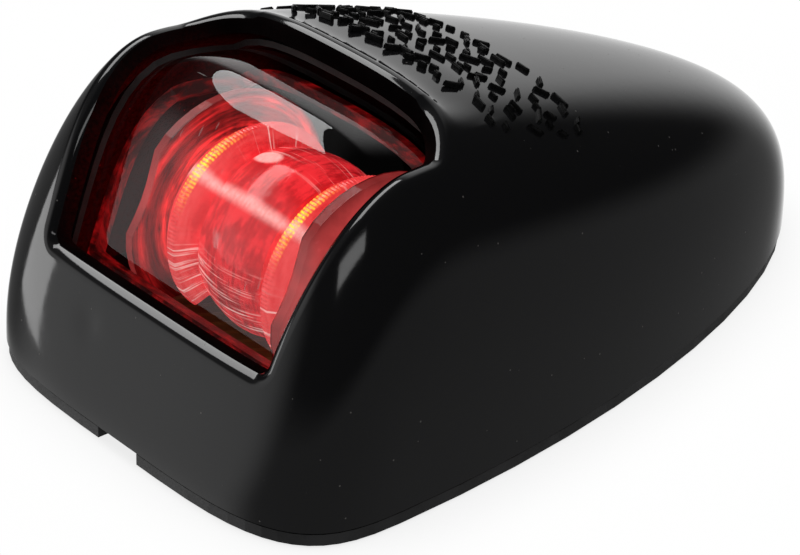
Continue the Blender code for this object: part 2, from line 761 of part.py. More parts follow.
def make_drum_lens():
    look = material("drum_red", (0.75, 0.02, 0.03), 0.05)
    shape = bmesh.new()
    rows = []
    steps = 22
    for i in range(steps + 1):
        angle = DRUM_START + DRUM_ARC * i / steps
        rows.append([shape.verts.new((x, LAMP_Y - r * math.cos(angle), LAMP_Z + r * math.sin(angle)))
                     for x, r in drum_profile()])
    join_rows(shape, rows, False)
    closing = [[row[-1], row[0]] for row in rows]
    join_rows(shape, closing, False)
    shape.faces.new(rows[0])
    shape.faces.new(rows[-1])
    return finish("drum_lens", mesh_from(shape), look)


def cheek_outline():
    """(y, z) round a side screen: it fills the space inside the window and stands on the board."""
    foot_angle = math.asin((SEAT_Z - LAMP_Z) / CHEEK_RADIUS)
    end_angle = math.radians(165)
    steps = 24
    centre = Vector((CHEEK_OUTER, LAMP_Y, LAMP_Z))
    points = []
    for i in range(steps + 1):
        angle = foot_angle + (end_angle - foot_angle) * i / steps
        facing = Vector((0, -math.cos(angle), math.sin(angle)))
        depth = LENS_DEPTH + LENS_THICKNESS if angle < math.radians(70) else FRAME_DEPTH + FRAME_THICKNESS
        behind_window = below(cast(centre, facing), depth) - centre
        behind_window.x = 0
        radius = CHEEK_RADIUS
        if angle > 0:
            radius = min(radius, behind_window.length - CHEEK_CLEARANCE)
        points.append((LAMP_Y - radius * math.cos(angle), LAMP_Z + radius * math.sin(angle)))
    return points


def make_carrier():
    look = material("carrier_black", (0.03, 0.012, 0.012), 0.2)
    bar_rear = REAR_POST[1] + 1.7 * MM
    bar_front = REAR_POST[1] - 1.7 * MM
    cheek = cheek_outline()
    cheek += [(bar_rear, BAR_TOP + MM), (bar_rear, SEAT_Z)]
    body = prism(cheek, CHEEK_INNER, CHEEK_OUTER, "X")
    joins = [prism(cheek, -CHEEK_OUTER, -CHEEK_INNER, "X")]
    hub = arc_points(HUB_RADIUS, 0, 2 * math.pi * 23 / 24, 23)
    hub_end = 7.0 * MM
    hub_root = CHEEK_INNER + 0.4 * MM
    joins.append(prism(hub, hub_end, hub_root, "X"))
    joins.append(prism(hub, -hub_root, -hub_end, "X"))
    bar_half = (CHEEK_INNER + CHEEK_OUTER) / 2
    joins.append(box((-bar_half, bar_front, SEAT_Z), (bar_half, bar_rear, BAR_TOP)))
    body = combine(body, "UNION", joins)
    holes = [peg((sign * REAR_POST[0], REAR_POST[1]), SCREW_CLEARANCE, SEAT_Z - MM, BAR_TOP + MM, 12)
             for sign in (-1, 1)]
    return finish("lamp_carrier", combine(body, "DIFFERENCE", holes), look)


def make_heat_sink():
    look = material("sink_aluminium", (0.72, 0.73, 0.75), 0.35, 1.0)
    half = 5.6 * MM
    face_back = -2.4 * MM
    face_half = 3.5 * MM
    front_y = -20.0 * MM
    rear_y = -9.8 * MM
    rear_top = 9.5 * MM
    section = [lamp_point(face_back, -face_half), lamp_point(face_back, face_half), (rear_y, rear_top),
               (rear_y, SEAT_Z), (front_y, SEAT_Z)]
    body = prism(section, -half, half, "X")
    slots = []
    slot_count = 4
    slot_pitch = 2.5 * MM
    slot_half = 0.5 * MM
    slot_front = -12.6 * MM
    for i in range(slot_count):
        x = (i - (slot_count - 1) / 2) * slot_pitch
        slots.append(box((x - slot_half, slot_front, SEAT_Z + MM),
                         (x + slot_half, rear_y + 2 * MM, rear_top + 4 * MM)))
    return finish("heat_sink", combine(body, "DIFFERENCE", slots), look, 20)


def tilted_plate(back, front, half_along, half_across):
    section = [lamp_point(back, -half_along), lamp_point(back, half_along),
               lamp_point(front, half_along), lamp_point(front, -half_along)]
    return prism(section, -half_across, half_across, "X")


def make_led():
    white = material("led_board_white", (0.85, 0.85, 0.83), 0.4)
    ceramic = material("led_ceramic", (0.9, 0.88, 0.82), 0.5)
    phosphor = material("led_phosphor", (0.95, 0.75, 0.08), 0.3)
    plate = tilted_plate(-2.1 * MM, -1.5 * MM, 3.3 * MM, 4.4 * MM)
    package = tilted_plate(-1.3 * MM, -0.8 * MM, 1.8 * MM, 1.8 * MM)
    radius = 1.3 * MM
    rings = 5
    profile = [(radius * math.cos(math.pi / 2 * i / rings), radius * math.sin(math.pi / 2 * i / rings))
               for i in range(rings)]
    dome = turned([(0, 0)] + profile + [(0, radius)], (0, 0), 16)
    place = FACING.to_track_quat("Z", "Y").to_matrix().to_4x4()
    place.translation = LAMP_CENTRE - FACING * 0.6 * MM
    dome.transform(place)
    return [finish("led_board", plate, white), finish("led_package", package, ceramic),
            finish("led_dome", dome, phosphor)]


# ---------------------------------------------------------------- electronics

def make_board():
    look = material("board_olive", (0.10, 0.13, 0.04), 0.45)
    body = box((-BOARD_HALF, BOARD_FRONT_Y, BOARD_BOTTOM), (BOARD_HALF, BOARD_REAR_Y, BOARD_TOP))
    holes = []
    for sign in (-1, 1):
        for x, y in (FRONT_POST, REAR_POST):
            holes.append(peg((sign * x, y), SCREW_CLEARANCE, BOARD_BOTTOM - MM, BOARD_TOP + MM, 12))
    return finish("circuit_board", combine(body, "DIFFERENCE", holes), look)


def make_chip():
    look = material("chip_black", (0.02, 0.02, 0.02), 0.5)
    x = 0.2 * MM
    y = -2.0 * MM
    body_low = SOLDER_TOP + 0.2 * MM
    body_top = SOLDER_TOP + 1.6 * MM
    half_long = 2.5 * MM
    half_wide = 1.9 * MM
    body = box((x - half_long, y - half_wide, body_low), (x + half_long, y + half_wide, body_top), 0.15 * MM)
    legs = []
    leg_count = 4
    leg_pitch = 1.27 * MM
    leg_half = 0.2 * MM
    leg_reach = 2.9 * MM
    leg_top = SOLDER_TOP + 0.45 * MM
    for i in range(leg_count):
        leg_x = x + (i - (leg_count - 1) / 2) * leg_pitch
        legs.append(box((leg_x - leg_half, y - leg_reach, SOLDER_TOP),
                        (leg_x + leg_half, y + leg_reach, leg_top)))
    return finish("driver_chip", combine(body, "UNION", legs), look)


def component(name, colour, roughness, centre, size, bevel=0.15):
    """A small block on the board, from a centre (x, y) and a size (x, y, z) in millimetres."""
    look = material(name + "_body", colour, roughness)
    low = [centre[0] * MM - size[0] * MM / 2, centre[1] * MM - size[1] * MM / 2, SOLDER_TOP]
    high = [low[axis] + size[axis] * MM for axis in range(3)]
    return finish(name, box(low, high, bevel * MM), look)


def make_components():
    make_chip()
    component("inductor", (0.09, 0.09, 0.10), 0.6, (-6.8, -1.8), (5.6, 5.6, 3.0), 0.6)
    component("protection_diode", (0.03, 0.03, 0.03), 0.5, (-7.4, 3.2), (4.2, 2.5, 2.1), 0.3)
    component("sense_resistor", (0.04, 0.04, 0.05), 0.4, (7.6, 3.4), (3.2, 1.6, 0.6), 0.1)
    look = material("can_aluminium", (0.75, 0.75, 0.77), 0.3, 1.0)
    radius = 2.9 * MM
    neck = 2.6 * MM
    steps = ((0, 0), (radius, 0), (radius, 1.0 * MM), (neck, 1.3 * MM), (radius, 1.6 * MM),
             (radius, 4.6 * MM), (neck, 4.9 * MM), (0, 4.9 * MM))
    can = turned([(r, SOLDER_TOP + rise) for r, rise in steps], (6.9 * MM, -1.4 * MM), 20)
    return finish("input_capacitor", can, look)


# ---------------------------------------------------------------- cable

def make_cable():
    jacket = material("cable_grey", (0.10, 0.10, 0.11), 0.55)
    red = material("wire_red", (0.6, 0.02, 0.02), 0.4)
    black = material("wire_black", (0.02, 0.02, 0.02), 0.4)
    points = [(0, CABLE_Y, 0), (0, CABLE_Y, CABLE_RUN_Z - CABLE_BEND)]
    steps = 6
    for i in range(1, steps + 1):
        turn = math.pi / 2 * i / steps
        points.append((0, CABLE_Y - CABLE_BEND * (1 - math.cos(turn)),
                       CABLE_RUN_Z - CABLE_BEND * (1 - math.sin(turn))))
    points.append((0, CABLE_END_Y, CABLE_RUN_Z))
    rod(points, CABLE_RADIUS, "cable_jacket", jacket, 2)
    for name, sign, look in (("wire_positive", 1, red), ("wire_negative", -1, black)):
        start = CABLE_END_Y - GAP
        rest = SOLDER_TOP + WIRE_RADIUS
        path = []
        steps = 8
        for i in range(steps + 1):
            share = i / steps
            fall = ease(share)
            path.append((sign * (WIRE_EXIT_X + (PAD_X - WIRE_EXIT_X) * fall), start + (PAD_Y - start) * share,
                         CABLE_RUN_Z + (rest - CABLE_RUN_Z) * fall))
        rod(path, WIRE_RADIUS, name, look)


def make_led_wires():
    """Two thin leads from the lower edge of the LED's board down to the main board."""
    red = material("lead_red", (0.55, 0.02, 0.02), 0.4)
    black = material("lead_black", (0.02, 0.02, 0.02), 0.4)
    x = 2.4 * MM
    radius = 0.32 * MM
    start = lamp_point(-1.8 * MM, -3.9 * MM)
    knee = (-20.5 * MM, 7.2 * MM)
    ankle = (-20.75 * MM, 6.4 * MM)
    foot = (-20.8 * MM, SOLDER_TOP)
    for name, sign, look in (("led_lead_positive", 1, red), ("led_lead_negative", -1, black)):
        rod([(sign * x, y, z) for y, z in (start, knee, ankle, foot)], radius, name, look)


def make_grommet():
    look = material("grommet_rubber", (0.02, 0.02, 0.02), 0.7)
    bore = CABLE_RADIUS + 0.15 * MM
    flange_low = FLOOR_TOP + 0.15 * MM
    flange_top = flange_low + 0.9 * MM
    profile = ((bore, RIM_BOTTOM), (GROMMET_NECK, RIM_BOTTOM), (GROMMET_NECK, flange_low),
               (GROMMET_NECK + 1.2 * MM, flange_low), (GROMMET_NECK + 1.2 * MM, flange_top - 0.3 * MM),
               (GROMMET_NECK + 0.9 * MM, flange_top), (bore, flange_top))
    return finish("cable_grommet", turned(profile, (0, CABLE_Y), 24), look)


def make_clamp():
    look = material("clamp_nylon", (0.04, 0.04, 0.045), 0.5)
    bore = CABLE_RADIUS + GAP
    strap = 1.0 * MM
    shoulder = bore + strap
    ear_low = CABLE_RUN_Z - CABLE_RADIUS
    steps = 10
    outer = []
    inner = []
    for i in range(steps + 1):
        turn = math.pi * i / steps
        outer.append((shoulder * math.cos(turn), CABLE_RUN_Z + shoulder * math.sin(turn)))
        inner.append((bore * math.cos(turn), CABLE_RUN_Z + bore * math.sin(turn)))
    right_ear = [(bore, ear_low), (CLAMP_EAR_HALF, ear_low), (CLAMP_EAR_HALF, CLAMP_EAR_TOP),
                 (shoulder, CLAMP_EAR_TOP)]
    left_ear = [(-x, z) for x, z in reversed(right_ear)]
    section = right_ear + outer + left_ear + list(reversed(inner))
    body = prism(section, CLAMP_Y - CLAMP_HALF_DEPTH, CLAMP_Y + CLAMP_HALF_DEPTH)
    body.transform(Matrix(((1, 0, 0, 0), (0, 0, 1, 0), (0, 1, 0, 0), (0, 0, 0, 1))))
    body.flip_normals()
    holes = [peg((sign * CLAMP_SCREW_X, CLAMP_Y), SCREW_CLEARANCE, ear_low - MM, CLAMP_EAR_TOP + MM, 12)
             for sign in (-1, 1)]
    return finish("cable_clamp", combine(body, "DIFFERENCE", holes), look)


clear_scene()
PIECES = new_collection("navigation_light")
CUTTERS = new_collection("cutters")
make_base()
make_board()
make_components()
make_heat_sink()
make_led()
make_led_wires()
make_drum_lens()
make_carrier()
make_grommet()
make_cable()
make_clamp()
make_screws()
make_window_stack()
make_cover()
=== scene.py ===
"""Looks of a compact boat side light: glossy black cover, clear window, red drum lens with painted glow."""

import math
import random

import bmesh
import bpy
import numpy as np
from mathutils import Matrix, Vector


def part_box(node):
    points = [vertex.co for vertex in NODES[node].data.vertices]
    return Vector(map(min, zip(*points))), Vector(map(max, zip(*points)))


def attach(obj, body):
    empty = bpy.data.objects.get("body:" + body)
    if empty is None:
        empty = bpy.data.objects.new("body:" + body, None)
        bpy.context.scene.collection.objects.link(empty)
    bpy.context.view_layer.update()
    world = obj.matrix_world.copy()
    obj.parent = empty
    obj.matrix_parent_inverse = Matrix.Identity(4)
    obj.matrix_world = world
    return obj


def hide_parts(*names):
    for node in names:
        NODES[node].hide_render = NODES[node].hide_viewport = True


MM = 0.001

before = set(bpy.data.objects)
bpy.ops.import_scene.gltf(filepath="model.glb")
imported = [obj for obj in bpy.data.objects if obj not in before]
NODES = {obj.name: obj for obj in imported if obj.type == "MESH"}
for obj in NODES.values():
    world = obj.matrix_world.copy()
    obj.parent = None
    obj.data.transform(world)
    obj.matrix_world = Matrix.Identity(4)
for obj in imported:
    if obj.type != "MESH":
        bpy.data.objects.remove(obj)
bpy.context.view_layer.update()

# Size of the whole skin, whose peak is over the window and so is cut away by its opening.
# The window faces -Y and the base lies on Z = 0.
HALF_LENGTH = 35.0 * MM
HALF_WIDTH = 20.8 * MM
HEIGHT = 28.7 * MM
WIDEST_Y = -21.3 * MM
FRONT_POWER = 3.95
REAR_POWER = 1.9
PEAK_Y = -19.5 * MM
NOSE_HEIGHT = 5.0 * MM
TAIL_HEIGHT = 16.4 * MM
PEAK_SOFTNESS = 3.0 * MM
SECTION_POWER = 3.4
WALL = 1.8 * MM
FOOT_Z = 1.3 * MM

# Window opening and the roll of the skin beside it.
SILL_Z = 11.2 * MM
RIM_Y = -13.5 * MM
EDGE_ROUND = 1.2 * MM
PIVOT_Y = RIM_Y + EDGE_ROUND / 2
PIVOT_Z = SILL_Z - EDGE_ROUND / 2
SIDE_AT_SILL = 14.0 * MM
SIDE_GROWTH = 1.2 * MM
SIDE_SWELL = 1.2 * MM
SWELL_LEAN = 1.4
SWELL_POWER = 1.5
CORNER_ROUND = 1.9 * MM
RIM_CORNER_ROUND = 5.5 * MM
LARGEST_ROUND = 1.6 * MM
CHEEK_ROLL = 0.08 * MM
CHEEK_WIDTH = 3.0 * MM
ROLL_RISE_POWER = 4
ROLL_FALL_POWER = 2
ROLL_FRONT_Y = -33.0 * MM
ROLL_FRONT_EASE = 6.0 * MM
ROLL_REAR_Y = -9.5 * MM
ROLL_REAR_EASE = 3.0 * MM
ROOF_END_Y = 22.0 * MM
ROOF_END_HALF = 5.5 * MM
LIP_DROP = 0.10 * MM
VALLEY_DEPTH = 0.18 * MM
VALLEY_NEAR = 0.45 * MM
VALLEY_FAR = 1.0 * MM
VALLEY_EASE = 4.5 * MM
LIP_END = 2.0 * MM
LIP_FADE = 4.0 * MM

# Window plate.
LENS_DEPTH = 3.05 * MM
LENS_THICKNESS = 1.3 * MM
WINDOW_OVERLAP = 0.4 * MM
WINDOW_LOW = -0.03
WINDOW_HIGH = 1.04
WINDOW_COLUMNS = 60
WINDOW_ROWS = 48

# Lamp: the drum lens is turned about a line along X through this centre.
LAMP_Y = -17.35 * MM
LAMP_Z = 11.7 * MM
LAMP_TILT = math.radians(55)
DRUM_ARC = math.radians(195)
DRUM_START = LAMP_TILT - DRUM_ARC / 2
DRUM_RADIUS = 8.05 * MM
DRUM_BORE = 5.1 * MM
DRUM_HALF = 7.9 * MM
DRUM_TICKS = 150
DRUM_STEPS = 600
TICK_DEPTH = 0.05 * MM
TICK_EDGE = 0.06 * MM
CROWN_HALF = 3.7 * MM
CROWN_RADIUS = 7.6 * MM
CROWN_FALL = 0.75 * MM
CROWN_STEPS = 14

# Rays that find the skin start at this height and reach this far.
INSIDE_Z = 5.0 * MM
FARTHEST = 50.0 * MM
CAST_HALVINGS = 36
FOOT_TRIES = 12
SLOPE_STEP = 0.02 * MM
WELD_DISTANCE = 1e-7


# ---------------------------------------------------------------- skin, on arrays of points

def roof_height(y):
    """Height of the skin over the light's middle line."""
    reach = np.clip((PEAK_Y - y) / (PEAK_Y + HALF_LENGTH), 0.0, 1.0)
    front = HEIGHT - (HEIGHT - NOSE_HEIGHT) * reach ** 2
    full = math.hypot(HALF_LENGTH - PEAK_Y, PEAK_SOFTNESS) - PEAK_SOFTNESS
    fall = np.hypot(y - PEAK_Y, PEAK_SOFTNESS) - PEAK_SOFTNESS
    rear = HEIGHT - (HEIGHT - TAIL_HEIGHT) * fall / full
    return np.where(y < PEAK_Y, front, rear)


def plan_gauge(x, y):
    """0 at the middle of the plan and 1 on its outline."""
    ahead = y < WIDEST_Y
    power = np.where(ahead, FRONT_POWER, REAR_POWER)
    reach = np.where(ahead, WIDEST_Y + HALF_LENGTH, HALF_LENGTH - WIDEST_Y)
    return (np.abs(x / HALF_WIDTH) ** power + np.abs((y - WIDEST_Y) / reach) ** power) ** (1 / power)


def skin_value(points):
    """Below 1 inside the skin, above 1 outside it."""
    x, y, z = points[..., 0], points[..., 1], points[..., 2]
    return plan_gauge(x, y) ** SECTION_POWER + (np.abs(z) / roof_height(y)) ** SECTION_POWER


def unit(vectors):
    return vectors / np.linalg.norm(vectors, axis=-1, keepdims=True)


def skin_normal(points):
    """Outward directions at points of the skin."""
    slope = []
    for axis in range(3):
        shift = np.zeros(3)
        shift[axis] = SLOPE_STEP
        slope.append(skin_value(points + shift) - skin_value(points - shift))
    return unit(np.stack(slope, axis=-1))


def ease(share):
    """A smooth step from 0 to 1."""
    share = np.clip(share, 0.0, 1.0)
    return share * share * (3 - 2 * share)


def opening_half(around):
    """Half the opening's width, from its sill at 0 to its rim at 1; it swells between them."""
    share = np.clip(around, 0.0, 1.0)
    swell = np.sin(math.pi * share ** SWELL_LEAN) ** SWELL_POWER
    return SIDE_AT_SILL + SIDE_GROWTH * share + SIDE_SWELL * swell


def roll(points):
    """How far the skin is rolled down towards the sides of the window."""
    ahead = PIVOT_Y - points[..., 1]
    above = points[..., 2] - PIVOT_Z
    edge_half = opening_half(np.arctan2(above, ahead) / (math.pi / 2))
    across = np.abs(points[..., 0])
    inside = (across / edge_half) ** ROLL_RISE_POWER
    outside = (np.maximum(edge_half + CHEEK_WIDTH - across, 0.0) / CHEEK_WIDTH) ** ROLL_FALL_POWER
    side = np.where(across < edge_half, inside, outside)
    front = ease((points[..., 1] - ROLL_FRONT_Y) / ROLL_FRONT_EASE)
    rear = ease((ROLL_REAR_Y - points[..., 1]) / ROLL_REAR_EASE)
    return CHEEK_ROLL * side * front * rear


def below(points, depth=0.0):
    """The places at a depth under points of the unrolled skin."""
    fall = roll(points) + depth
    return points - skin_normal(points) * np.asarray(fall)[..., None]


def cast(starts, directions):
    """Where rays from inside meet the skin."""
    near = np.zeros(starts.shape[:-1])
    far = np.full(starts.shape[:-1], FARTHEST)
    for _ in range(CAST_HALVINGS):
        middle = (near + far) / 2
        inside = skin_value(starts + directions * middle[..., None]) < 1
        near = np.where(inside, middle, near)
        far = np.where(inside, far, middle)
    return starts + directions * near[..., None]


def cast_up(x, y):
    """The skin's points above places in plan."""
    starts = np.stack([x, y, np.full(np.shape(x), INSIDE_Z)], axis=-1)
    directions = np.zeros_like(starts)
    directions[..., 2] = 1.0
    return cast(starts, directions)


def window_point(x, around):
    """Points on the skin at places across the window, and 0..1 from its sill to its rim."""
    x, around = np.broadcast_arrays(np.asarray(x, float), np.asarray(around, float))
    starts = np.stack([x, np.full(x.shape, PIVOT_Y), np.full(x.shape, PIVOT_Z)], axis=-1)
    angle = around * math.pi / 2
    directions = np.stack([np.zeros(x.shape), -np.cos(angle), np.sin(angle)], axis=-1)
    return cast(starts, directions)


def meridian(points, share):
    """The points a share of the way down the skin from points on it to the cover's foot."""
    gauge = plan_gauge(points[..., 0], points[..., 1])
    edge_x = points[..., 0] / gauge
    edge_y = WIDEST_Y + (points[..., 1] - WIDEST_Y) / gauge
    top = np.arccos(np.minimum(gauge ** (SECTION_POWER / 2), 1.0))
    foot = np.zeros(gauge.shape)
    for _ in range(FOOT_TRIES):
        y = WIDEST_Y + (edge_y - WIDEST_Y) * np.cos(foot) ** (2 / SECTION_POWER)
        foot = np.arcsin((FOOT_Z / roof_height(y)) ** (SECTION_POWER / 2))
    angle = top + (foot - top) * share
    scale = np.cos(angle) ** (2 / SECTION_POWER)
    y = WIDEST_Y + (edge_y - WIDEST_Y) * scale
    return np.stack([edge_x * scale, y, roof_height(y) * np.sin(angle) ** (2 / SECTION_POWER)], axis=-1)


# ---------------------------------------------------------------- mesh help

class Build:
    """Collects points and faces of one mesh."""

    def __init__(self):
        self.points = []
        self.faces = []
        self.looks = []

    def row(self, points):
        start = len(self.points)
        self.points.extend(tuple(point) for point in points)
        return list(range(start, start + len(points)))

    def skin(self, rows, closed=False, look=0):
        for near, far in zip(rows, rows[1:]):
            steps = len(near) if closed else len(near) - 1
            for i in range(steps):
                after = (i + 1) % len(near)
                self.faces.append((near[i], near[after], far[after], far[i]))
                self.looks.append(look)

    def cap(self, ring):
        self.faces.append(tuple(ring))
        self.looks.append(0)

    def join(self, shape, look):
        """Adds a closed bmesh and frees it, its faces in an order that is the same in every run."""
        start = len(self.points)
        shape.verts.index_update()
        self.points.extend(tuple(vert.co) for vert in shape.verts)
        faces = []
        for face in shape.faces:
            corners = [start + vert.index for vert in face.verts]
            first = corners.index(min(corners))
            faces.append(tuple(corners[first:] + corners[:first]))
        self.faces.extend(sorted(faces))
        self.looks.extend([look] * len(faces))
        shape.free()

    def piece(self, name, body, looks, replaced=(), smooth_angle=40):
        made = bpy.data.meshes.new(name)
        made.from_pydata(self.points, [], self.faces)
        made.polygons.foreach_set("material_index", self.looks)
        shape = bmesh.new()
        shape.from_mesh(made)
        bmesh.ops.remove_doubles(shape, verts=shape.verts, dist=WELD_DISTANCE)
        bmesh.ops.recalc_face_normals(shape, faces=shape.faces)
        shape.to_mesh(made)
        shape.free()
        for look in looks:
            made.materials.append(look)
        made.shade_smooth()
        made.set_sharp_from_angle(angle=math.radians(smooth_angle))
        thing = bpy.data.objects.new(name, made)
        bpy.context.scene.collection.objects.link(thing)
        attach(thing, body)
        if replaced:
            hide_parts(*replaced)


# ---------------------------------------------------------------- shader help

class Nodes:
    """Short calls that add nodes to one shader tree."""

    def __init__(self, tree, coordinate):
        self.tree = tree
        self.place = self.add("ShaderNodeTexCoord").outputs[coordinate]

    def add(self, kind, inputs=None, **settings):
        made = self.tree.nodes.new(kind)
        for key, value in settings.items():
            setattr(made, key, value)
        for key, value in (inputs or {}).items():
            self.feed(made.inputs[key], value)
        return made

    def feed(self, socket, value):
        if isinstance(value, bpy.types.NodeSocket):
            self.tree.links.new(value, socket)
        else:
            socket.default_value = value

    def maths(self, operation, first, second=0.0):
        made = self.add("ShaderNodeMath", operation=operation)
        for socket, value in zip(made.inputs, (first, second)):
            self.feed(socket, value)
        return made.outputs[0]

    def product(self, *values):
        total = values[0]
        for value in values[1:]:
            total = self.maths("MULTIPLY", total, value)
        return total

    def between(self, value, low, high, out_low=0.0, out_high=1.0):
        """A smooth step of a value from out_low to out_high; low may be the larger of low and high."""
        if low > high:
            low, high, out_low, out_high = high, low, out_high, out_low
        made = self.add("ShaderNodeMapRange", interpolation_type="SMOOTHSTEP")
        for key, amount in (("Value", value), ("From Min", low), ("From Max", high),
                            ("To Min", out_low), ("To Max", out_high)):
            self.feed(made.inputs[key], amount)
        return made.outputs["Result"]

    def bell(self, value, centre, reach):
        """1 at a centre, falling to 0 at a reach on both sides."""
        away = self.maths("ABSOLUTE", self.maths("SUBTRACT", value, centre))
        return self.between(away, reach, 0.0)

    def noise(self, size, detail=3.0, rough=0.55, place=None, stretch=None, seed=0.0):
        """Soft noise whose spots measure about size metres."""
        where = place or self.place
        if stretch:
            where = self.add("ShaderNodeVectorMath", {0: where, 1: stretch}, operation="MULTIPLY").outputs[0]
        return self.add("ShaderNodeTexNoise", {"Vector": where, "Scale": 1 / size, "Detail": detail,
                                               "Roughness": rough, "W": seed},
                        noise_dimensions="4D").outputs["Fac"]

    def cells(self, size):
        return self.add("ShaderNodeTexVoronoi", {"Vector": self.place, "Scale": 1 / size}).outputs["Distance"]

    def mix(self, share, first, second):
        made = self.add("ShaderNodeMix", data_type="RGBA")
        self.feed(made.inputs["Factor"], share)
        for socket, colour in ((made.inputs[6], first), (made.inputs[7], second)):
            self.feed(socket, (*colour, 1.0) if isinstance(colour, tuple) else colour)
        return made.outputs[2]

    def bump(self, height, distance, strength=1.0):
        return self.add("ShaderNodeBump", {"Height": height, "Distance": distance,
                                           "Strength": strength}).outputs["Normal"]

    def parts(self):
        made = self.add("ShaderNodeSeparateXYZ", {"Vector": self.place})
        return made.outputs["X"], made.outputs["Y"], made.outputs["Z"]

    def about_lamp(self):
        """x, and the distance and angle about the lamp's line; 0 is forward, a quarter turn is up."""
        x, y, z = self.parts()
        ahead = self.maths("SUBTRACT", LAMP_Y, y)
        above = self.maths("SUBTRACT", z, LAMP_Z)
        squares = self.maths("ADD", self.product(ahead, ahead), self.product(above, above))
        return x, self.maths("SQRT", squares), self.maths("ARCTAN2", above, ahead)

    def bent(self, lamp_places, waves):
        """A place for noise: places about the lamp times waves per mm, per mm and per radian."""
        x, r, angle = lamp_places
        across, out, turn = waves
        return self.add("ShaderNodeCombineXYZ", {"X": self.product(x, across / MM),
                                                 "Y": self.product(r, out / MM),
                                                 "Z": self.product(angle, turn)}).outputs[0]


class Look(Nodes):
    """A material with a Principled shader."""

    SOCKETS = {"colour": "Base Color", "rough": "Roughness", "metal": "Metallic", "bump": "Normal",
               "ior": "IOR", "glow": "Emission Color", "glow_power": "Emission Strength",
               "specular": "Specular IOR Level"}

    def __init__(self, name):
        self.material = bpy.data.materials.new(name)
        self.material.use_nodes = True
        super().__init__(self.material.node_tree, "Object")
        self.shader = self.tree.nodes["Principled BSDF"]
        self.output = self.tree.nodes["Material Output"]

    def set(self, **values):
        for key, value in values.items():
            self.feed(self.shader.inputs[self.SOCKETS[key]], value)


# ---------------------------------------------------------------- looks

def gloss_black():
    """Polished moulded black plastic with faint orange peel, haze and dust."""
    look = Look("cover_gloss_black")
    haze = look.noise(9 * MM, 4.0, 0.6)
    rub = look.noise(1.1 * MM, 4.0, 0.7, stretch=(1.0, 0.25, 1.0))
    dust = look.between(look.cells(1.6 * MM), 0.055, 0.03)
    fine_dust = look.between(look.noise(0.16 * MM, 1.0), 0.77, 0.83)
    specks = look.maths("MAXIMUM", dust, look.product(fine_dust, 0.6))
    wear = look.maths("ADD", look.between(rub, 0.5, 0.8, 0.0, 0.05), look.product(specks, 0.4))
    look.set(colour=look.mix(look.product(specks, 0.6), (0.006, 0.006, 0.0065), (0.16, 0.15, 0.14)),
             rough=look.maths("ADD", look.between(haze, 0.3, 0.75, 0.06, 0.11), wear),
             ior=1.5)
    ripple = look.noise(1.5 * MM, 2.0, 0.5)
    grain = look.noise(0.3 * MM, 2.0, 0.5)
    height = look.maths("ADD", ripple, look.product(grain, 0.12))
    look.set(bump=look.bump(height, 0.02 * MM, 0.2))
    return look


def satin_black(name, base=(0.012, 0.012, 0.012), rough=0.5, grain_size=0.12 * MM):
    """Moulded black plastic or rubber with a fine spark texture."""
    look = Look(name)
    grain = look.noise(grain_size, 3.0, 0.6)
    patch = look.noise(4 * MM, 3.0, 0.6)
    look.set(colour=look.mix(look.between(patch, 0.3, 0.7), base, tuple(2.2 * part for part in base)),
             rough=look.between(grain, 0.3, 0.7, rough - 0.08, rough + 0.1),
             bump=look.bump(grain, 0.03 * MM, 0.5))
    return look


def metal(name, colour, rough, streak=(1.0, 1.0, 6.0)):
    """Metal with fine drawn streaks and a little tarnish."""
    look = Look(name)
    lines = look.noise(0.12 * MM, 2.0, 0.6, stretch=streak)
    stain = look.noise(1.8 * MM, 4.0, 0.65)
    dark = tuple(0.55 * part for part in colour)
    look.set(colour=look.mix(look.between(stain, 0.45, 0.75), colour, dark),
             metal=1.0,
             rough=look.between(lines, 0.3, 0.7, rough - 0.06, rough + 0.12),
             bump=look.bump(lines, 0.01 * MM, 0.4))
    return look


def board_look():
    """Olive solder mask over raised tracks that wander along the board."""
    look = Look("board_olive_detail")
    x, y, _ = look.parts()
    pitch = 1.7 * MM
    wander_length = 9 * MM
    wander = look.product(look.maths("SINE", look.product(y, 2 * math.pi / wander_length)), 0.9 * MM)
    swerved = look.maths("ADD", look.maths("ADD", x, wander), 40 * MM)
    share = look.maths("FRACT", look.maths("DIVIDE", swerved, pitch))
    lane = look.maths("ABSOLUTE", look.maths("SUBTRACT", share, 0.5))
    track = look.between(lane, 0.17, 0.13)
    weave = look.noise(0.25 * MM, 2.0)
    ground = look.mix(look.between(weave, 0.3, 0.7), (0.035, 0.055, 0.016), (0.05, 0.075, 0.022))
    look.set(colour=look.mix(look.product(track, 0.7), ground, (0.085, 0.105, 0.03)),
             rough=look.between(weave, 0.3, 0.7, 0.3, 0.42),
             bump=look.bump(track, 0.035 * MM, 0.6))
    return look


def part_body(name, base, rough=0.45):
    """Moulded body of an electronic part, with a speckled resin surface."""
    look = Look(name)
    speck = look.noise(0.1 * MM, 2.0)
    patch = look.noise(1.5 * MM, 2.0)
    light = tuple(min(1.0, 1.7 * part + 0.004) for part in base)
    look.set(colour=look.mix(look.between(patch, 0.3, 0.75), base, light),
             rough=look.between(speck, 0.3, 0.7, rough - 0.07, rough + 0.1),
             bump=look.bump(speck, 0.015 * MM, 0.5))
    return look


def chip_look():
    """Black resin body, with tinned legs along its two sides."""
    look = part_body("chip_black_detail", (0.012, 0.012, 0.012))
    low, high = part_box("driver_chip")
    _, y, _ = look.parts()
    leg_length = 1.02 * MM
    out = look.maths("ABSOLUTE", look.maths("SUBTRACT", y, (low.y + high.y) / 2))
    leg = look.maths("GREATER_THAN", out, (high.y - low.y) / 2 - leg_length)
    resin = look.shader.inputs["Base Color"].links[0].from_socket
    look.set(colour=look.mix(leg, resin, (0.62, 0.62, 0.6)), metal=leg)
    return look
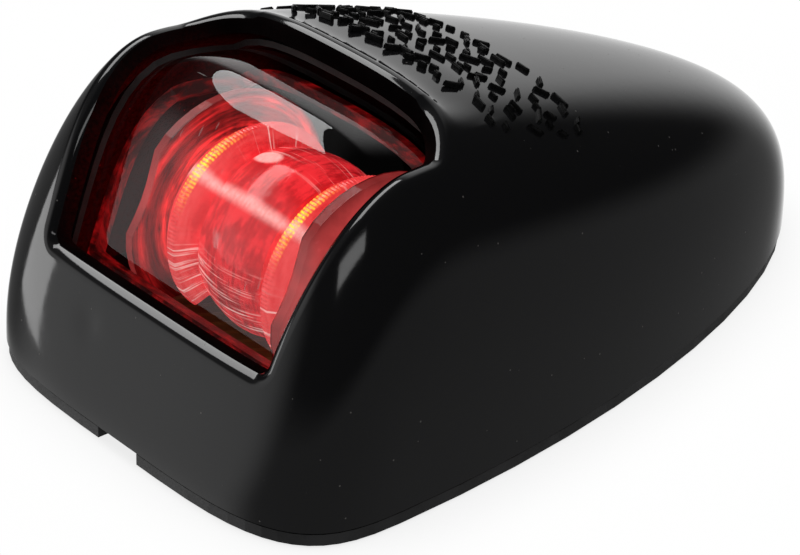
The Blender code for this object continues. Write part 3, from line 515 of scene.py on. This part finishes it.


# Where the drum's painted glow, shade, highlights and glints fall: distances out from the lamp's line
# and across from the drum's middle, and turns about the line.
RING_FACE = (6.3 * MM, 7.6 * MM)
RING_START = (4.0 * MM, 4.6 * MM)
VALLEY_SIDE = 4.05 * MM
VALLEY_REACH = 0.5 * MM
BARREL_SIDE = (4.4 * MM, 3.4 * MM)
EDGE_OUT = (7.80 * MM, 7.93 * MM)
EDGE_NEAR = (5.1 * MM, 5.2 * MM)
EDGE_FAR = (6.2 * MM, 6.1 * MM)
SWEEP_TURN = 0.84
SWEEP_REACH = 0.12
SPOT_SIDE = -2.4 * MM
SPOT_TURN = 1.42
SPOT_WIDTH = 1.5 * MM
SPOT_HEIGHT = 0.12
GLINT_TURN = 0.95
GLINT_REACH = 0.62


def drum_glow(look, side, r, arcs, cloud):
    """Painted glow: a deep red barrel with darker clouds and patches of painted shade, and milky rings."""
    ring = look.product(look.between(r, *RING_FACE), look.between(side, *RING_START))
    tone = look.maths("ADD", look.product(cloud, 0.6), look.product(arcs, 0.4))
    barrel = look.mix(look.between(tone, 0.36, 0.62), (0.22, 0.002, 0.006), (0.76, 0.024, 0.034))
    milky = look.mix(look.between(arcs, 0.3, 0.7), (0.62, 0.030, 0.035), (0.78, 0.085, 0.085))
    # Patches of painted shade on the middle of the barrel.
    gloom = look.between(look.product(arcs, cloud), 0.30, 0.16)
    shade = look.product(look.between(side, *BARREL_SIDE), gloom)
    return look.mix(look.product(shade, 0.8), look.mix(ring, barrel, milky), (0.16, 0.0, 0.003))


def drum_painted_highlights(look, x, angle, arcs, streaks):
    """Painted pale highlights: a painted reflection in a sweep along the barrel, painted spokes below it, a
    painted crown above it and one painted round spot.
    """
    sweep = look.product(look.bell(angle, SWEEP_TURN, SWEEP_REACH), look.between(arcs, 0.3, 0.6, 0.65, 1.0))
    spokes = look.product(look.between(streaks, 0.52, 0.66), look.between(angle, 0.30, -0.05))
    crown = look.product(look.between(streaks, 0.56, 0.72), look.between(angle, 1.2, 1.7))
    fans = look.maths("MAXIMUM", look.product(spokes, 0.8), look.product(crown, 0.9))
    pale = look.maths("MAXIMUM", look.product(sweep, 0.9), fans)
    spot_x = look.maths("DIVIDE", look.maths("ADD", x, -SPOT_SIDE), SPOT_WIDTH)
    spot_turn = look.maths("DIVIDE", look.maths("SUBTRACT", angle, SPOT_TURN), SPOT_HEIGHT)
    away = look.maths("ADD", look.product(spot_x, spot_x), look.product(spot_turn, spot_turn))
    return look.maths("MAXIMUM", pale, look.between(away, 1.3, 0.5))


def drum_painted_glints(look, side, r, angle, grain):
    """Painted gold glints of the lamp on the ticked edges of the two rings."""
    edge = look.product(look.between(r, *EDGE_OUT), look.between(side, *EDGE_NEAR),
                        look.between(side, *EDGE_FAR))
    ticks = look.between(look.maths("SINE", look.product(angle, DRUM_TICKS)), -0.7, 0.5, 0.35, 1.0)
    lit = look.bell(angle, GLINT_TURN, GLINT_REACH)
    return look.product(edge, lit, ticks, look.between(grain, 0.35, 0.6, 0.35, 1.0))


def drum_look():
    """Clear red plastic, its light painted as glow: milky rings, deep red barrel, painted gold glints on the
    ring edges.
    """
    look = Look("drum_red_painted_glow")
    x, r, angle = look.about_lamp()
    side = look.maths("ABSOLUTE", x)
    arcs = look.noise(0.35, 4.0, 0.6, place=look.bent((x, r, angle), (1.0, 1.0, 1.6)))
    streaks = look.noise(1.0, 3.0, 0.6, place=look.bent((x, r, angle), (0.12, 0.15, 26.0)))
    cloud = look.noise(2.6 * MM, 4.0, 0.65)
    grain = look.noise(0.3 * MM, 3.0, 0.6)
    # Painted glow of the drum, with painted highlights mixed over it.
    glow = look.mix(drum_painted_highlights(look, x, angle, arcs, streaks),
                    drum_glow(look, side, r, arcs, cloud), (1.0, 0.66, 0.62))
    # Painted shade: the glow darkens in the valley between each ring and the barrel.
    valley = look.bell(side, VALLEY_SIDE, VALLEY_REACH)
    glow = look.mix(look.product(valley, 0.85), glow, (0.06, 0.0, 0.0))
    # Painted gold glints of the lamp, which tint the glow and add to its strength.
    painted_glints = drum_painted_glints(look, side, r, angle, grain)
    relief = look.maths("ADD", arcs, look.product(grain, 0.3))
    look.set(colour=(0.85, 0.02, 0.025, 1.0), rough=look.between(grain, 0.3, 0.75, 0.03, 0.16), ior=1.49,
             glow=look.mix(painted_glints, glow, (1.0, 0.62, 0.02)),
             glow_power=look.maths("ADD", look.between(grain, 0.3, 0.7, 0.72, 0.92), look.product(painted_glints, 0.9)),
             bump=look.bump(relief, 0.05 * MM, 0.35))
    return look


# Radii of the painted glow arcs on the side screens, which stand in for mirror images of the red drum, and
# where in x their outer faces begin.
SCREEN_OUTER_ARC = 8.9 * MM
SCREEN_INNER_ARC = 6.6 * MM
SCREEN_OUTSIDE = (8.45 * MM, 8.6 * MM)


def carrier_look():
    """Dark red side screens with painted glow: curved streaks of painted lamp light inside, an even painted
    red glow outside.
    """
    look = Look("carrier_dark_red_painted_glow")
    x, r, angle = look.about_lamp()
    hair = look.noise(1.2, 4.0, 0.65, place=look.bent((x, r, angle), (1.0, 3.2, 2.4)))
    cloud = look.noise(3.0 * MM, 3.0, 0.6)
    # Specks painted as small glints of red light.
    speck = look.between(look.noise(0.14 * MM, 1.0), 0.70, 0.78)
    outer = look.bell(r, SCREEN_OUTER_ARC, 0.75 * MM)
    inner = look.bell(r, SCREEN_INNER_ARC, 0.9 * MM)
    arcs = look.maths("ADD", look.product(outer, 0.55), look.product(inner, 0.8))
    # A painted pool of red light near the lamp.
    painted_glow_pool = look.product(look.between(r, 12.0 * MM, 6.0 * MM), 0.30)
    shape = look.maths("ADD", arcs, painted_glow_pool)
    lit = look.between(look.maths("ADD", look.product(hair, 0.65), look.product(cloud, 0.35)), 0.34, 0.64)
    upper = look.between(angle, -0.9, 0.5, 0.25, 1.0)
    power = look.maths("ADD", look.product(shape, lit, upper, 1.9), look.product(speck, 0.25))
    outward = look.between(look.maths("ABSOLUTE", x), *SCREEN_OUTSIDE)
    # Even painted red glow on the outer faces.
    painted_outside_glow = look.product(look.between(r, 11.5 * MM, 7.6 * MM), look.between(cloud, 0.3, 0.7, 0.5, 0.8))
    relief = look.maths("SUBTRACT", 0.5, look.product(outward, 0.44))
    look.set(colour=look.mix(cloud, (0.05, 0.004, 0.004), (0.11, 0.008, 0.008)),
             rough=look.between(look.mix(outward, hair, cloud), 0.3, 0.7, 0.12, 0.3),
             glow=look.mix(outward, (0.80, 0.020, 0.022), (0.74, 0.075, 0.075)),
             glow_power=look.mix(outward, power, painted_outside_glow), specular=0.15,
             bump=look.bump(hair, 0.05 * MM, relief))
    return look


# Colour of painted red light from the drum on the black parts near it.
PAINTED_RED_LIGHT = (0.60, 0.008, 0.010, 1.0)


def inside_look():
    """Dull black inside of the cover, with a dim painted red glow and specks painted as light near the lamp.
    """
    look = satin_black("cover_inside_satin", (0.0015, 0.0010, 0.0010), 0.6, 0.3 * MM)
    grain = look.noise(0.3 * MM, 3.0)
    _, r, _ = look.about_lamp()
    # Painted red light near the lamp, with specks painted as glints of it.
    near_lamp = look.between(r, 14 * MM, 9 * MM)
    speck = look.between(look.noise(0.22 * MM, 1.0), 0.72, 0.80)
    painted_red_cast = look.maths("ADD", look.between(grain, 0.3, 0.7, 0.01, 0.04), look.product(speck, 0.4))
    look.set(specular=0.0, bump=look.bump(grain, 0.01 * MM, 0.2),
             glow=PAINTED_RED_LIGHT, glow_power=look.product(near_lamp, painted_red_cast))
    return look


def frame_look():
    """Black frame with ragged arcs of painted red glow, standing in for red light from the drum."""
    look = satin_black("frame_satin", (0.016, 0.006, 0.006), 0.35)
    hair = look.noise(1.0, 4.0, 0.7, place=look.bent(look.about_lamp(), (0.5, 1.5, 3.0)))
    look.set(glow=PAINTED_RED_LIGHT, glow_power=look.between(hair, 0.42, 0.72, 0.02, 0.5))
    return look


def window_look():
    """Clear plastic pane: see-through, with a mirror sheen that grows at low angles, and hair scratches."""
    look = Look("window_clear_pane")
    geometry = look.add("ShaderNodeNewGeometry")
    grain = look.noise(0.6 * MM, 3.0)
    surface = look.bump(grain, 0.004 * MM, 0.1)
    facing = look.add("ShaderNodeVectorMath", {0: geometry.outputs["Incoming"], 1: surface},
                      operation="DOT_PRODUCT").outputs["Value"]
    facing = look.maths("ABSOLUTE", facing)
    glance = look.maths("POWER", look.maths("SUBTRACT", 1.0, facing), 5.0)
    outer = look.maths("SUBTRACT", 1.0, geometry.outputs["Backfacing"])
    least = 0.05
    sheen = look.product(look.maths("ADD", least, look.product(glance, 1 - least)), outer)
    hair = look.between(look.noise(0.6 * MM, 1.0, 0.5, stretch=(0.05, 1.0, 1.0)), 0.765, 0.785)
    hair_other = look.between(look.noise(0.5 * MM, 1.0, 0.5, stretch=(1.0, 0.05, 0.2), seed=3.0), 0.775, 0.79)
    scratch = look.maths("MAXIMUM", hair, hair_other)
    gloss = look.add("ShaderNodeBsdfGlossy", {"Color": (1, 1, 1, 1), "Normal": surface,
                                              "Roughness": look.between(grain, 0.3, 0.8, 0.01, 0.03)})
    clear = look.add("ShaderNodeBsdfTransparent", {"Color": (0.93, 0.92, 0.915, 1.0)})
    haze = look.add("ShaderNodeBsdfDiffuse", {"Color": (0.75, 0.72, 0.70, 1.0)})
    body = look.add("ShaderNodeMixShader")
    look.feed(body.inputs[0], sheen)
    look.tree.links.new(clear.outputs[0], body.inputs[1])
    look.tree.links.new(gloss.outputs[0], body.inputs[2])
    marked = look.add("ShaderNodeMixShader")
    look.feed(marked.inputs[0], look.product(scratch, 0.16))
    look.tree.links.new(body.outputs[0], marked.inputs[1])
    look.tree.links.new(haze.outputs[0], marked.inputs[2])
    look.tree.links.new(marked.outputs[0], look.output.inputs["Surface"])
    look.tree.nodes.remove(look.shader)
    return look


# ---------------------------------------------------------------- cover

SIDE_STEPS = 44
SILL_STEPS = 72
ROOF_STEPS = 80
SKIRT_STEPS = 54
INNER_STEPS = 16
FILLET_STEPS = 9
POLISHED_STEPS = 6
CORNER_POINTS = 7
LINE_POINTS = 200
ROOF_GRADING = 1.6
SKIRT_GRADING = 1.25
LEAN_STEP = 0.05 * MM

# Small sink mark low on the front face.
SINK_X = -5.85 * MM
SINK_Z = 8.0 * MM
SINK_REACH = 1.3 * MM
SINK_DEPTH = 0.10 * MM
SINK_BACK_Y = -28 * MM
SINK_FADE = 2 * MM

# Materials of the cover's piece, in order.
POLISHED, INSIDE, MARKS = range(3)


def window_ring():
    """Points on the skin round the opening, then how many are on its sill and between it and the rim."""
    around = np.linspace(0, 1, LINE_POINTS)
    line = window_point(np.zeros(LINE_POINTS), around)
    travel = np.concatenate([[0], np.cumsum(np.linalg.norm(np.diff(line, axis=0), axis=1))])
    tall = travel[-1]
    half = SIDE_AT_SILL
    eighth = np.linspace(0, math.pi / 4, CORNER_POINTS)

    def half_corner(bend):
        """Distances along and in from a side, from the middle of a rounded corner to its end."""
        return [(bend * (1 - math.sin(math.pi / 4 - turn)), bend * (1 - math.cos(math.pi / 4 - turn)))
                for turn in eighth]

    def side(length, steps, first, last):
        """Distances along and in from one side, corner to corner."""
        middle = [(first + (length - first - last) * i / steps, 0.0) for i in range(1, steps)]
        end = [(length - along, inset) for along, inset in reversed(half_corner(last))]
        return half_corner(first) + middle + end

    low, high = CORNER_ROUND, RIM_CORNER_ROUND
    sill = [(-half + along, inset) for along, inset in side(2 * half, SILL_STEPS, low, low)]
    right = [(half - inset, along) for along, inset in side(tall, SIDE_STEPS, low, high)]
    rim = [(half - along, tall - inset) for along, inset in side(2 * half, SILL_STEPS, high, high)]
    left = [(-half + inset, tall - along) for along, inset in side(tall, SIDE_STEPS, high, low)]
    flat = sill + right[1:-1] + rim + left[1:-1]
    climb = np.interp([place[1] for place in flat], travel, around)
    x = np.array([place[0] for place in flat]) / half * opening_half(climb)
    return window_point(x, climb), len(sill), len(right) - 2


def lip_rise(points, start_y):
    """Height of the lip along the rim and of the shallow valley behind it, against the plain skin."""
    back = np.maximum(points[..., 1] - start_y, 0.0)
    fade = ease((opening_half(1.0) - LIP_END - np.abs(points[..., 0])) / LIP_FADE)
    valley = LIP_DROP + VALLEY_DEPTH * (1 - np.exp(-back / VALLEY_NEAR))
    return -valley * (1 - ease((back - VALLEY_FAR) / VALLEY_EASE)) * fade


def sink_mark(points):
    away = np.hypot(points[..., 0] - SINK_X, points[..., 2] - SINK_Z) / SINK_REACH
    front = ease((SINK_BACK_Y - points[..., 1]) / SINK_FADE)
    return SINK_DEPTH * np.exp(-away ** 2) * front


def opening_edge(build, ring, rim, rim_y):
    """Rows of the opening's rounded edge, from the skin down to the inside of the wall."""
    normal = skin_normal(ring)
    tangent = unit(np.roll(ring, -1, axis=0) - np.roll(ring, 1, axis=0))
    inward = unit(np.cross(normal, tangent))
    on_rim = np.zeros(len(ring))
    on_rim[rim] = 1.0
    rise = lip_rise(ring, rim_y) * on_rim
    outside = ring - inward * LEAN_STEP
    fall = roll(ring) - roll(outside)
    lip_slope = (rise - lip_rise(outside, rim_y) * on_rim) / LEAN_STEP
    lean = np.arctan(fall / LEAN_STEP - lip_slope)
    round_radius = np.minimum(EDGE_ROUND / (1 - np.sin(lean)), LARGEST_ROUND)
    surface = below(ring, -rise)

    rows = []
    for i in range(FILLET_STEPS + 1):
        bend = lean + (math.pi / 2 - lean) * i / FILLET_STEPS
        across = round_radius * (np.sin(bend) - np.sin(lean))
        down = round_radius * (np.cos(lean) - np.cos(bend))
        rows.append(build.row(surface + inward * across[:, None] - normal * down[:, None]))
    across = round_radius * (1 - np.sin(lean))
    rows.append(build.row(below(ring, WALL) + inward * across[:, None]))
    build.skin(rows[:POLISHED_STEPS + 1], closed=True)
    build.skin(rows[POLISHED_STEPS:], closed=True, look=INSIDE)
    return rows


def roof_sheet(build, rim_points, rim_row, rim_y, depth):
    """Rows of the roof at a depth, from the rim back towards the tail, and their places on the skin."""
    sheet = [rim_row]
    spots = [rim_points]
    for i in range(1, ROOF_STEPS + 1):
        share = (i / ROOF_STEPS) ** ROOF_GRADING
        x = rim_points[:, 0] * (1 + (ROOF_END_HALF / opening_half(1.0) - 1) * share)
        y = rim_points[:, 1] + (ROOF_END_Y - rim_points[:, 1]) * share
        spot = cast_up(x, y)
        lift = lip_rise(spot, rim_y) if depth == 0 else 0.0
        sheet.append(build.row(below(spot, depth - lift)))
        spots.append(spot)
    return sheet, spots


def border(before, sheet, after):
    """The line down one side of a sheet, across its end and back up, between two stretches."""
    return (list(before) + [line[-1] for line in sheet[1:]] + list(sheet[-1][-2::-1])
            + [line[0] for line in sheet[-2:0:-1]] + list(after))


def cover_face(build, ring, rim, rim_y, hole, depth, skirt_steps, look):
    """One face of the shell: the roof behind the opening, and the skirt down to the foot, its last row."""
    sheet, spots = roof_sheet(build, ring[rim][::-1], hole[rim][::-1], rim_y, depth)
    build.skin(sheet, look=look)
    before = slice(0, rim.start + 1)
    after = slice(rim.stop - 1, None)
    places = np.array(border(ring[before], spots, ring[after]))
    lines = [border(hole[before], sheet, hole[after])]
    for i in range(1, skirt_steps + 1):
        spot = meridian(places, (i / skirt_steps) ** SKIRT_GRADING)
        sink = sink_mark(spot) if depth == 0 else 0.0
        lowered = below(spot, depth + sink)
        if i == skirt_steps:
            lowered[:, 2] = FOOT_Z
        lines.append(build.row(lowered))
    build.skin(lines, closed=True, look=look)
    return lines[-1]


def cover_shell(build):
    """The opening's edge, an outer and an inner face, and the foot that joins them."""
    ring, sill_count, side_count = window_ring()
    rim = slice(sill_count + side_count, 2 * sill_count + side_count)
    rim_y = ring[rim.start + sill_count // 2, 1]
    edge = opening_edge(build, ring, rim, rim_y)
    outer_foot = cover_face(build, ring, rim, rim_y, edge[0], 0.0, SKIRT_STEPS, POLISHED)
    inner_foot = cover_face(build, ring, rim, rim_y, edge[-1], WALL, INNER_STEPS, INSIDE)
    build.skin([outer_foot, inner_foot], closed=True, look=INSIDE)


# Rows of plain bars behind the window. Each row has three tiers, and most of its middle tier is left out.
MARK_FIRST_Y = -9.1 * MM
MARK_PITCH = 2.7 * MM
MARK_ROWS = 4
MARK_HALF_SPAN = 14.2 * MM
MARK_TIERS = (-0.58, 0.0, 0.58)
MARK_SHIFT = 0.10
FIRST_GAP = 0.8
BAR_LENGTHS = (0.9, 1.1, 1.4, 1.7)
BAR_TILTS = (-35, -10, 0, 0, 6, 14, 40, 65)
BAR_WIDTHS = (0.30, 0.38)
BAR_GAPS = (0.45, 0.85)
MIDDLE_LEFT_OUT = 0.6
OTHERS_LEFT_OUT = 0.08
BAR_HEIGHT = 0.30 * MM
BAR_SINK = 0.12 * MM
BAR_END_ROUND = 0.44
BAR_TOP_ROUND = 0.09 * MM


def marking_bars(build, look):
    """Plain rounded bars of mixed length in rows behind the window, in place of any lettering."""
    draw = random.Random(7)
    for row in range(MARK_ROWS):
        for tier in MARK_TIERS:
            y_row = MARK_FIRST_Y + row * MARK_PITCH + tier * MM
            left_out = MIDDLE_LEFT_OUT if tier == 0.0 else OTHERS_LEFT_OUT
            x = -MARK_HALF_SPAN + draw.uniform(0, FIRST_GAP) * MM
            while True:
                length = draw.choice(BAR_LENGTHS) * MM
                if x + length > MARK_HALF_SPAN:
                    break
                tilt = math.radians(draw.choice(BAR_TILTS))
                width = draw.uniform(*BAR_WIDTHS) * MM
                y = y_row + draw.uniform(-MARK_SHIFT, MARK_SHIFT) * MM
                if draw.random() >= left_out:
                    raised_bar(build, x + length / 2, y, length, width, tilt, look)
                x += length + draw.uniform(*BAR_GAPS) * MM


def raised_bar(build, x, y, length, width, tilt, look):
    """One bar with rounded ends and top, laid along the skin and sunk a little into it."""
    spot = cast_up(np.array([x]), np.array([y]))
    normal = Vector(skin_normal(spot)[0])
    heading = Vector((math.cos(tilt), math.sin(tilt), 0))
    across = (heading - normal * normal.dot(heading)).normalized()
    place = Matrix((across, normal.cross(across), normal)).transposed().to_4x4()
    place.translation = Vector(spot[0]) + normal * (BAR_HEIGHT - BAR_SINK) / 2
    shape = bmesh.new()
    bmesh.ops.create_cube(shape, size=1.0)
    bmesh.ops.scale(shape, vec=(length, width, BAR_HEIGHT + BAR_SINK), verts=shape.verts)
    upright = [edge for edge in shape.edges
               if abs(edge.verts[0].co.z - edge.verts[1].co.z) > BAR_HEIGHT]
    bmesh.ops.bevel(shape, geom=upright, offset=width * BAR_END_ROUND, segments=3, affect="EDGES")
    top = [edge for edge in shape.edges if all(vert.co.z > 0 for vert in edge.verts)]
    bmesh.ops.bevel(shape, geom=top, offset=BAR_TOP_ROUND, segments=2, affect="EDGES")
    bmesh.ops.transform(shape, matrix=place, verts=shape.verts)
    build.join(shape, look)


def make_cover():
    """The cover: shell and marking bars as one piece with three materials."""
    bars = satin_black("marking_satin", (0.003, 0.003, 0.003), 0.30, 0.2 * MM)
    bars.set(specular=0.25)
    looks = (gloss_black(), inside_look(), bars)
    build = Build()
    cover_shell(build)
    marking_bars(build, MARKS)
    build.piece("cover_shell", "cover", [look.material for look in looks], ("cover",), 60)


def make_window():
    """The clear pane, a sheet of even thickness that follows the skin under the opening."""
    build = Build()
    across = np.linspace(-1, 1, WINDOW_COLUMNS + 1)[None, :]
    around = np.linspace(WINDOW_LOW, WINDOW_HIGH, WINDOW_ROWS + 1)[:, None]
    grid = window_point(across * (opening_half(around) + WINDOW_OVERLAP), around)
    outer = [build.row(line) for line in below(grid, LENS_DEPTH)]
    inner = [build.row(line) for line in below(grid, LENS_DEPTH + LENS_THICKNESS)]
    build.skin(outer)
    build.skin(inner)

    edges = [border(lines[0], lines, ()) for lines in (outer, inner)]
    build.skin(edges, closed=True)
    build.piece("window_pane", "cover", (window_look().material,), ("window_lens",))


# ---------------------------------------------------------------- drum lens

def drum_profile():
    """(x, radius) round half the drum's section, from its hub to its middle."""
    top, end, bore = (size / MM for size in (DRUM_RADIUS, DRUM_HALF, DRUM_BORE))
    hub = [(end, bore), (end, 5.9), (end, 6.35), (7.6, 6.75), (7.2, 7.15), (6.8, 7.45), (6.45, 7.7)]
    ring = [(6.22, top - 0.16), (6.1, top - 0.03), (5.98, top), (5.65, top), (5.35, top), (5.25, top - 0.05)]
    valley = [(5.1, 7.7), (4.85, 7.1), (4.6, 6.55), (4.42, 6.2), (4.3, 6.0), (4.1, 5.9), (3.92, 6.0),
              (3.8, 6.3)]
    outline = [(x * MM, r * MM) for x, r in hub + ring + valley]
    for i in range(CROWN_STEPS):
        share = 1 - i / CROWN_STEPS
        outline.append((CROWN_HALF * share, CROWN_RADIUS - CROWN_FALL * share ** 2))
    return outline


def make_drum():
    """Two ringed edges and a barrel between them, turned about the lamp's line with ticked rims."""
    half = drum_profile()
    profile = half + [(0.0, CROWN_RADIUS)] + [(-x, r) for x, r in reversed(half)]
    build = Build()
    rows = []
    for i in range(DRUM_STEPS + 1):
        angle = DRUM_START + DRUM_ARC * i / DRUM_STEPS
        tick = 0.5 + 0.5 * math.cos(angle * DRUM_TICKS)
        points = []
        for x, r in profile:
            if r > DRUM_RADIUS - TICK_EDGE:
                r -= TICK_DEPTH * tick
            points.append((x, LAMP_Y - r * math.cos(angle), LAMP_Z + r * math.sin(angle)))
        rows.append(build.row(points))
    build.skin(rows)
    build.skin([[row[-1], row[0]] for row in rows])
    build.cap(rows[0])
    build.cap(rows[-1])
    build.piece("drum_lens_painted_glow", "base", (drum_look().material,), ("drum_lens",), 50)


# ---------------------------------------------------------------- looks of the carried-over nodes

def paint(node, look):
    """Puts one look on a node that keeps its own shape."""
    for place in NODES[node].material_slots:
        place.link = "OBJECT"
        place.material = look.material


def paint_nodes():
    steel = metal("steel_brushed", (0.60, 0.60, 0.62), 0.28)
    for name in ("board_screw", "carrier_screw", "clamp_screw"):
        for side in ("left", "right"):
            paint(f"{name}_{side}", steel)
    paint("base_plate", satin_black("base_satin", (0.010, 0.010, 0.0105), 0.42, 0.15 * MM))
    paint("base_gasket", satin_black("gasket_foam_cells", (0.035, 0.035, 0.038), 0.9, 0.35 * MM))
    paint("cover_seal", satin_black("cord_rubber_detail", (0.010, 0.010, 0.010), 0.6))
    paint("window_seal", satin_black("seal_rubber_detail", (0.012, 0.010, 0.010), 0.65))
    paint("lens_frame", frame_look())
    paint("cable_grommet", satin_black("grommet_rubber_detail", (0.012, 0.012, 0.012), 0.65))
    paint("cable_jacket", satin_black("jacket_grey_detail", (0.055, 0.055, 0.060), 0.5))
    paint("cable_clamp", satin_black("clamp_nylon_detail", (0.022, 0.022, 0.025), 0.45))
    paint("wire_positive", part_body("wire_red_detail", (0.42, 0.012, 0.010), 0.4))
    paint("wire_negative", part_body("wire_black_detail", (0.010, 0.010, 0.010), 0.4))
    paint("led_lead_positive", part_body("lead_red_detail", (0.42, 0.012, 0.010), 0.4))
    paint("led_lead_negative", part_body("lead_black_detail", (0.010, 0.010, 0.010), 0.4))
    paint("circuit_board", board_look())
    paint("driver_chip", chip_look())
    paint("inductor", part_body("inductor_ferrite", (0.045, 0.045, 0.050), 0.6))
    paint("protection_diode", part_body("diode_resin", (0.014, 0.014, 0.014)))
    paint("sense_resistor", part_body("resistor_resin", (0.016, 0.016, 0.022)))
    paint("input_capacitor", metal("can_aluminium_drawn", (0.74, 0.74, 0.76), 0.25))
    paint("heat_sink", metal("sink_aluminium_sawn", (0.68, 0.69, 0.71), 0.32, (6.0, 1.0, 1.0)))
    paint("led_board", part_body("led_board_white_mask", (0.72, 0.72, 0.70), 0.35))
    paint("led_package", part_body("led_ceramic_fired", (0.78, 0.76, 0.70), 0.5))
    dome = part_body("led_phosphor_lit", (0.90, 0.62, 0.05), 0.2)
    dome.set(glow=(1.0, 0.70, 0.12, 1.0), glow_power=2.0)
    paint("led_dome", dome)
    paint("lamp_carrier", carrier_look())


# ---------------------------------------------------------------- studio

CAMERA_TURN = math.radians(48.017)
CAMERA_RISE = math.radians(29.564)
CAMERA_ROLL = math.radians(1.851)
CAMERA_SHIFT = (-4.943 * MM, 2.541 * MM)
CAMERA_DISTANCE = 245.94 * MM
CAMERA_LENS = 134.84
SENSOR_WIDTH = 36


def make_camera():
    """A camera ahead of the window, to its right and above it."""
    turn, rise, lean = CAMERA_TURN, CAMERA_RISE, CAMERA_ROLL
    back = Vector((math.sin(turn) * math.cos(rise), -math.cos(turn) * math.cos(rise), math.sin(rise)))
    right = Vector((math.cos(turn), math.sin(turn), 0))
    up = back.cross(right)
    rolled_right = right * math.cos(lean) + up * math.sin(lean)
    rolled_up = up * math.cos(lean) - right * math.sin(lean)
    place = Matrix((rolled_right, rolled_up, back)).transposed().to_4x4()
    place.translation = (rolled_right * CAMERA_SHIFT[0] + rolled_up * CAMERA_SHIFT[1]
                         + back * CAMERA_DISTANCE)
    view = bpy.data.cameras.new("camera")
    view.sensor_width = SENSOR_WIDTH
    view.lens = CAMERA_LENS
    view.clip_start = 10 * MM
    holder = bpy.data.objects.new("camera", view)
    bpy.context.scene.collection.objects.link(holder)
    holder.matrix_world = place
    bpy.context.scene.camera = holder


def soft_box(name, direction, distance, width, height, radiance, turn=0.0):
    """A rectangular light that faces the object."""
    lamp = bpy.data.lights.new(name, "AREA")
    lamp.shape = "RECTANGLE"
    lamp.size = width
    lamp.size_y = height
    lamp.energy = radiance * math.pi * width * height
    holder = bpy.data.objects.new(name, lamp)
    bpy.context.scene.collection.objects.link(holder)
    away = Vector(direction).normalized()
    spin = Matrix.Rotation(turn, 4, "Z")
    holder.matrix_world = (Matrix.Translation(away * distance) @
                           away.to_track_quat("Z", "Y").to_matrix().to_4x4() @ spin)
    holder.visible_camera = False


def make_world():
    """A studio that is white to the eye, bright on the left and behind, and dark on the right."""
    world = bpy.data.worlds.new("studio")
    bpy.context.scene.world = world
    world.use_nodes = True
    look = Nodes(world.node_tree, "Generated")
    background = look.tree.nodes["Background"]
    x, y, z = look.parts()
    left = look.product(look.maths("POWER", look.between(x, -0.05, -0.52), 2.0),
                        look.between(x, -0.92, -0.76))
    behind = look.between(y, 0.40, 0.62)
    gap = look.product(look.between(z, 0.20, 0.40), look.between(y, 0.56, 0.34))
    bright = look.product(look.maths("ADD", 0.75, look.product(behind, 0.2)),
                          look.maths("SUBTRACT", 1.0, look.product(gap, 0.85)))
    dark = look.between(z, 0.12, -0.10, 0.02, 0.18)
    total = look.maths("ADD", look.product(left, bright),
                       look.product(look.maths("SUBTRACT", 1.0, left), dark))
    path = look.add("ShaderNodeLightPath")
    diffuse = path.outputs["Is Diffuse Ray"]
    total = look.maths("ADD", look.product(total, look.maths("SUBTRACT", 1.0, diffuse)),
                       look.product(diffuse, 0.5))
    seen = path.outputs["Is Camera Ray"]
    strength = look.maths("MAXIMUM", total, seen)
    look.feed(background.inputs["Strength"], strength)
    background.inputs["Color"].default_value = (1.0, 1.0, 1.0, 1.0)


FLOOR_REACH = 3.0
FLOOR_DROP = 0.05 * MM


def make_floor():
    """A plain pale floor with a soft contact shadow."""
    look = Look("floor_pale")
    shade = look.add("ShaderNodeAmbientOcclusion", {"Distance": 10 * MM}, samples=8).outputs["AO"]
    tone = look.between(look.noise(40 * MM), 0.3, 0.7, 0.995, 1.0)
    strength = look.product(look.between(shade, 0.2, 0.9, 0.82, 1.0), tone)
    emit = look.add("ShaderNodeEmission", {"Color": (1.0, 1.0, 1.0, 1.0), "Strength": strength})
    look.tree.links.new(emit.outputs[0], look.output.inputs["Surface"])
    look.tree.nodes.remove(look.shader)
    far = FLOOR_REACH
    made = bpy.data.meshes.new("floor")
    made.from_pydata([(-far, -far, 0), (far, -far, 0), (far, far, 0), (-far, far, 0)], [], [(0, 1, 2, 3)])
    made.materials.append(look.material)
    floor = bpy.data.objects.new("floor", made)
    bpy.context.scene.collection.objects.link(floor)
    floor.location.z = -FLOOR_DROP
    floor.visible_glossy = False
    floor.visible_diffuse = False


def make_studio():
    soft_box("key_box", direction=(-0.66, -0.06, 0.75), distance=0.6, width=0.50, height=0.20, radiance=5.0)
    soft_box("front_box", direction=(-0.85, -0.51, -0.10), distance=0.8, width=0.20, height=0.18,
             radiance=2.6)
    soft_box("side_strip", direction=(0.33, -0.72, 0.62), distance=0.8, width=0.42, height=0.11,
             radiance=2.6, turn=math.radians(30))
    bpy.context.scene.view_settings.view_transform = "Standard"
    bpy.context.scene.view_settings.look = "None"


make_cover()
make_window()
make_drum()
paint_nodes()
make_camera()
make_world()
make_floor()
make_studio()
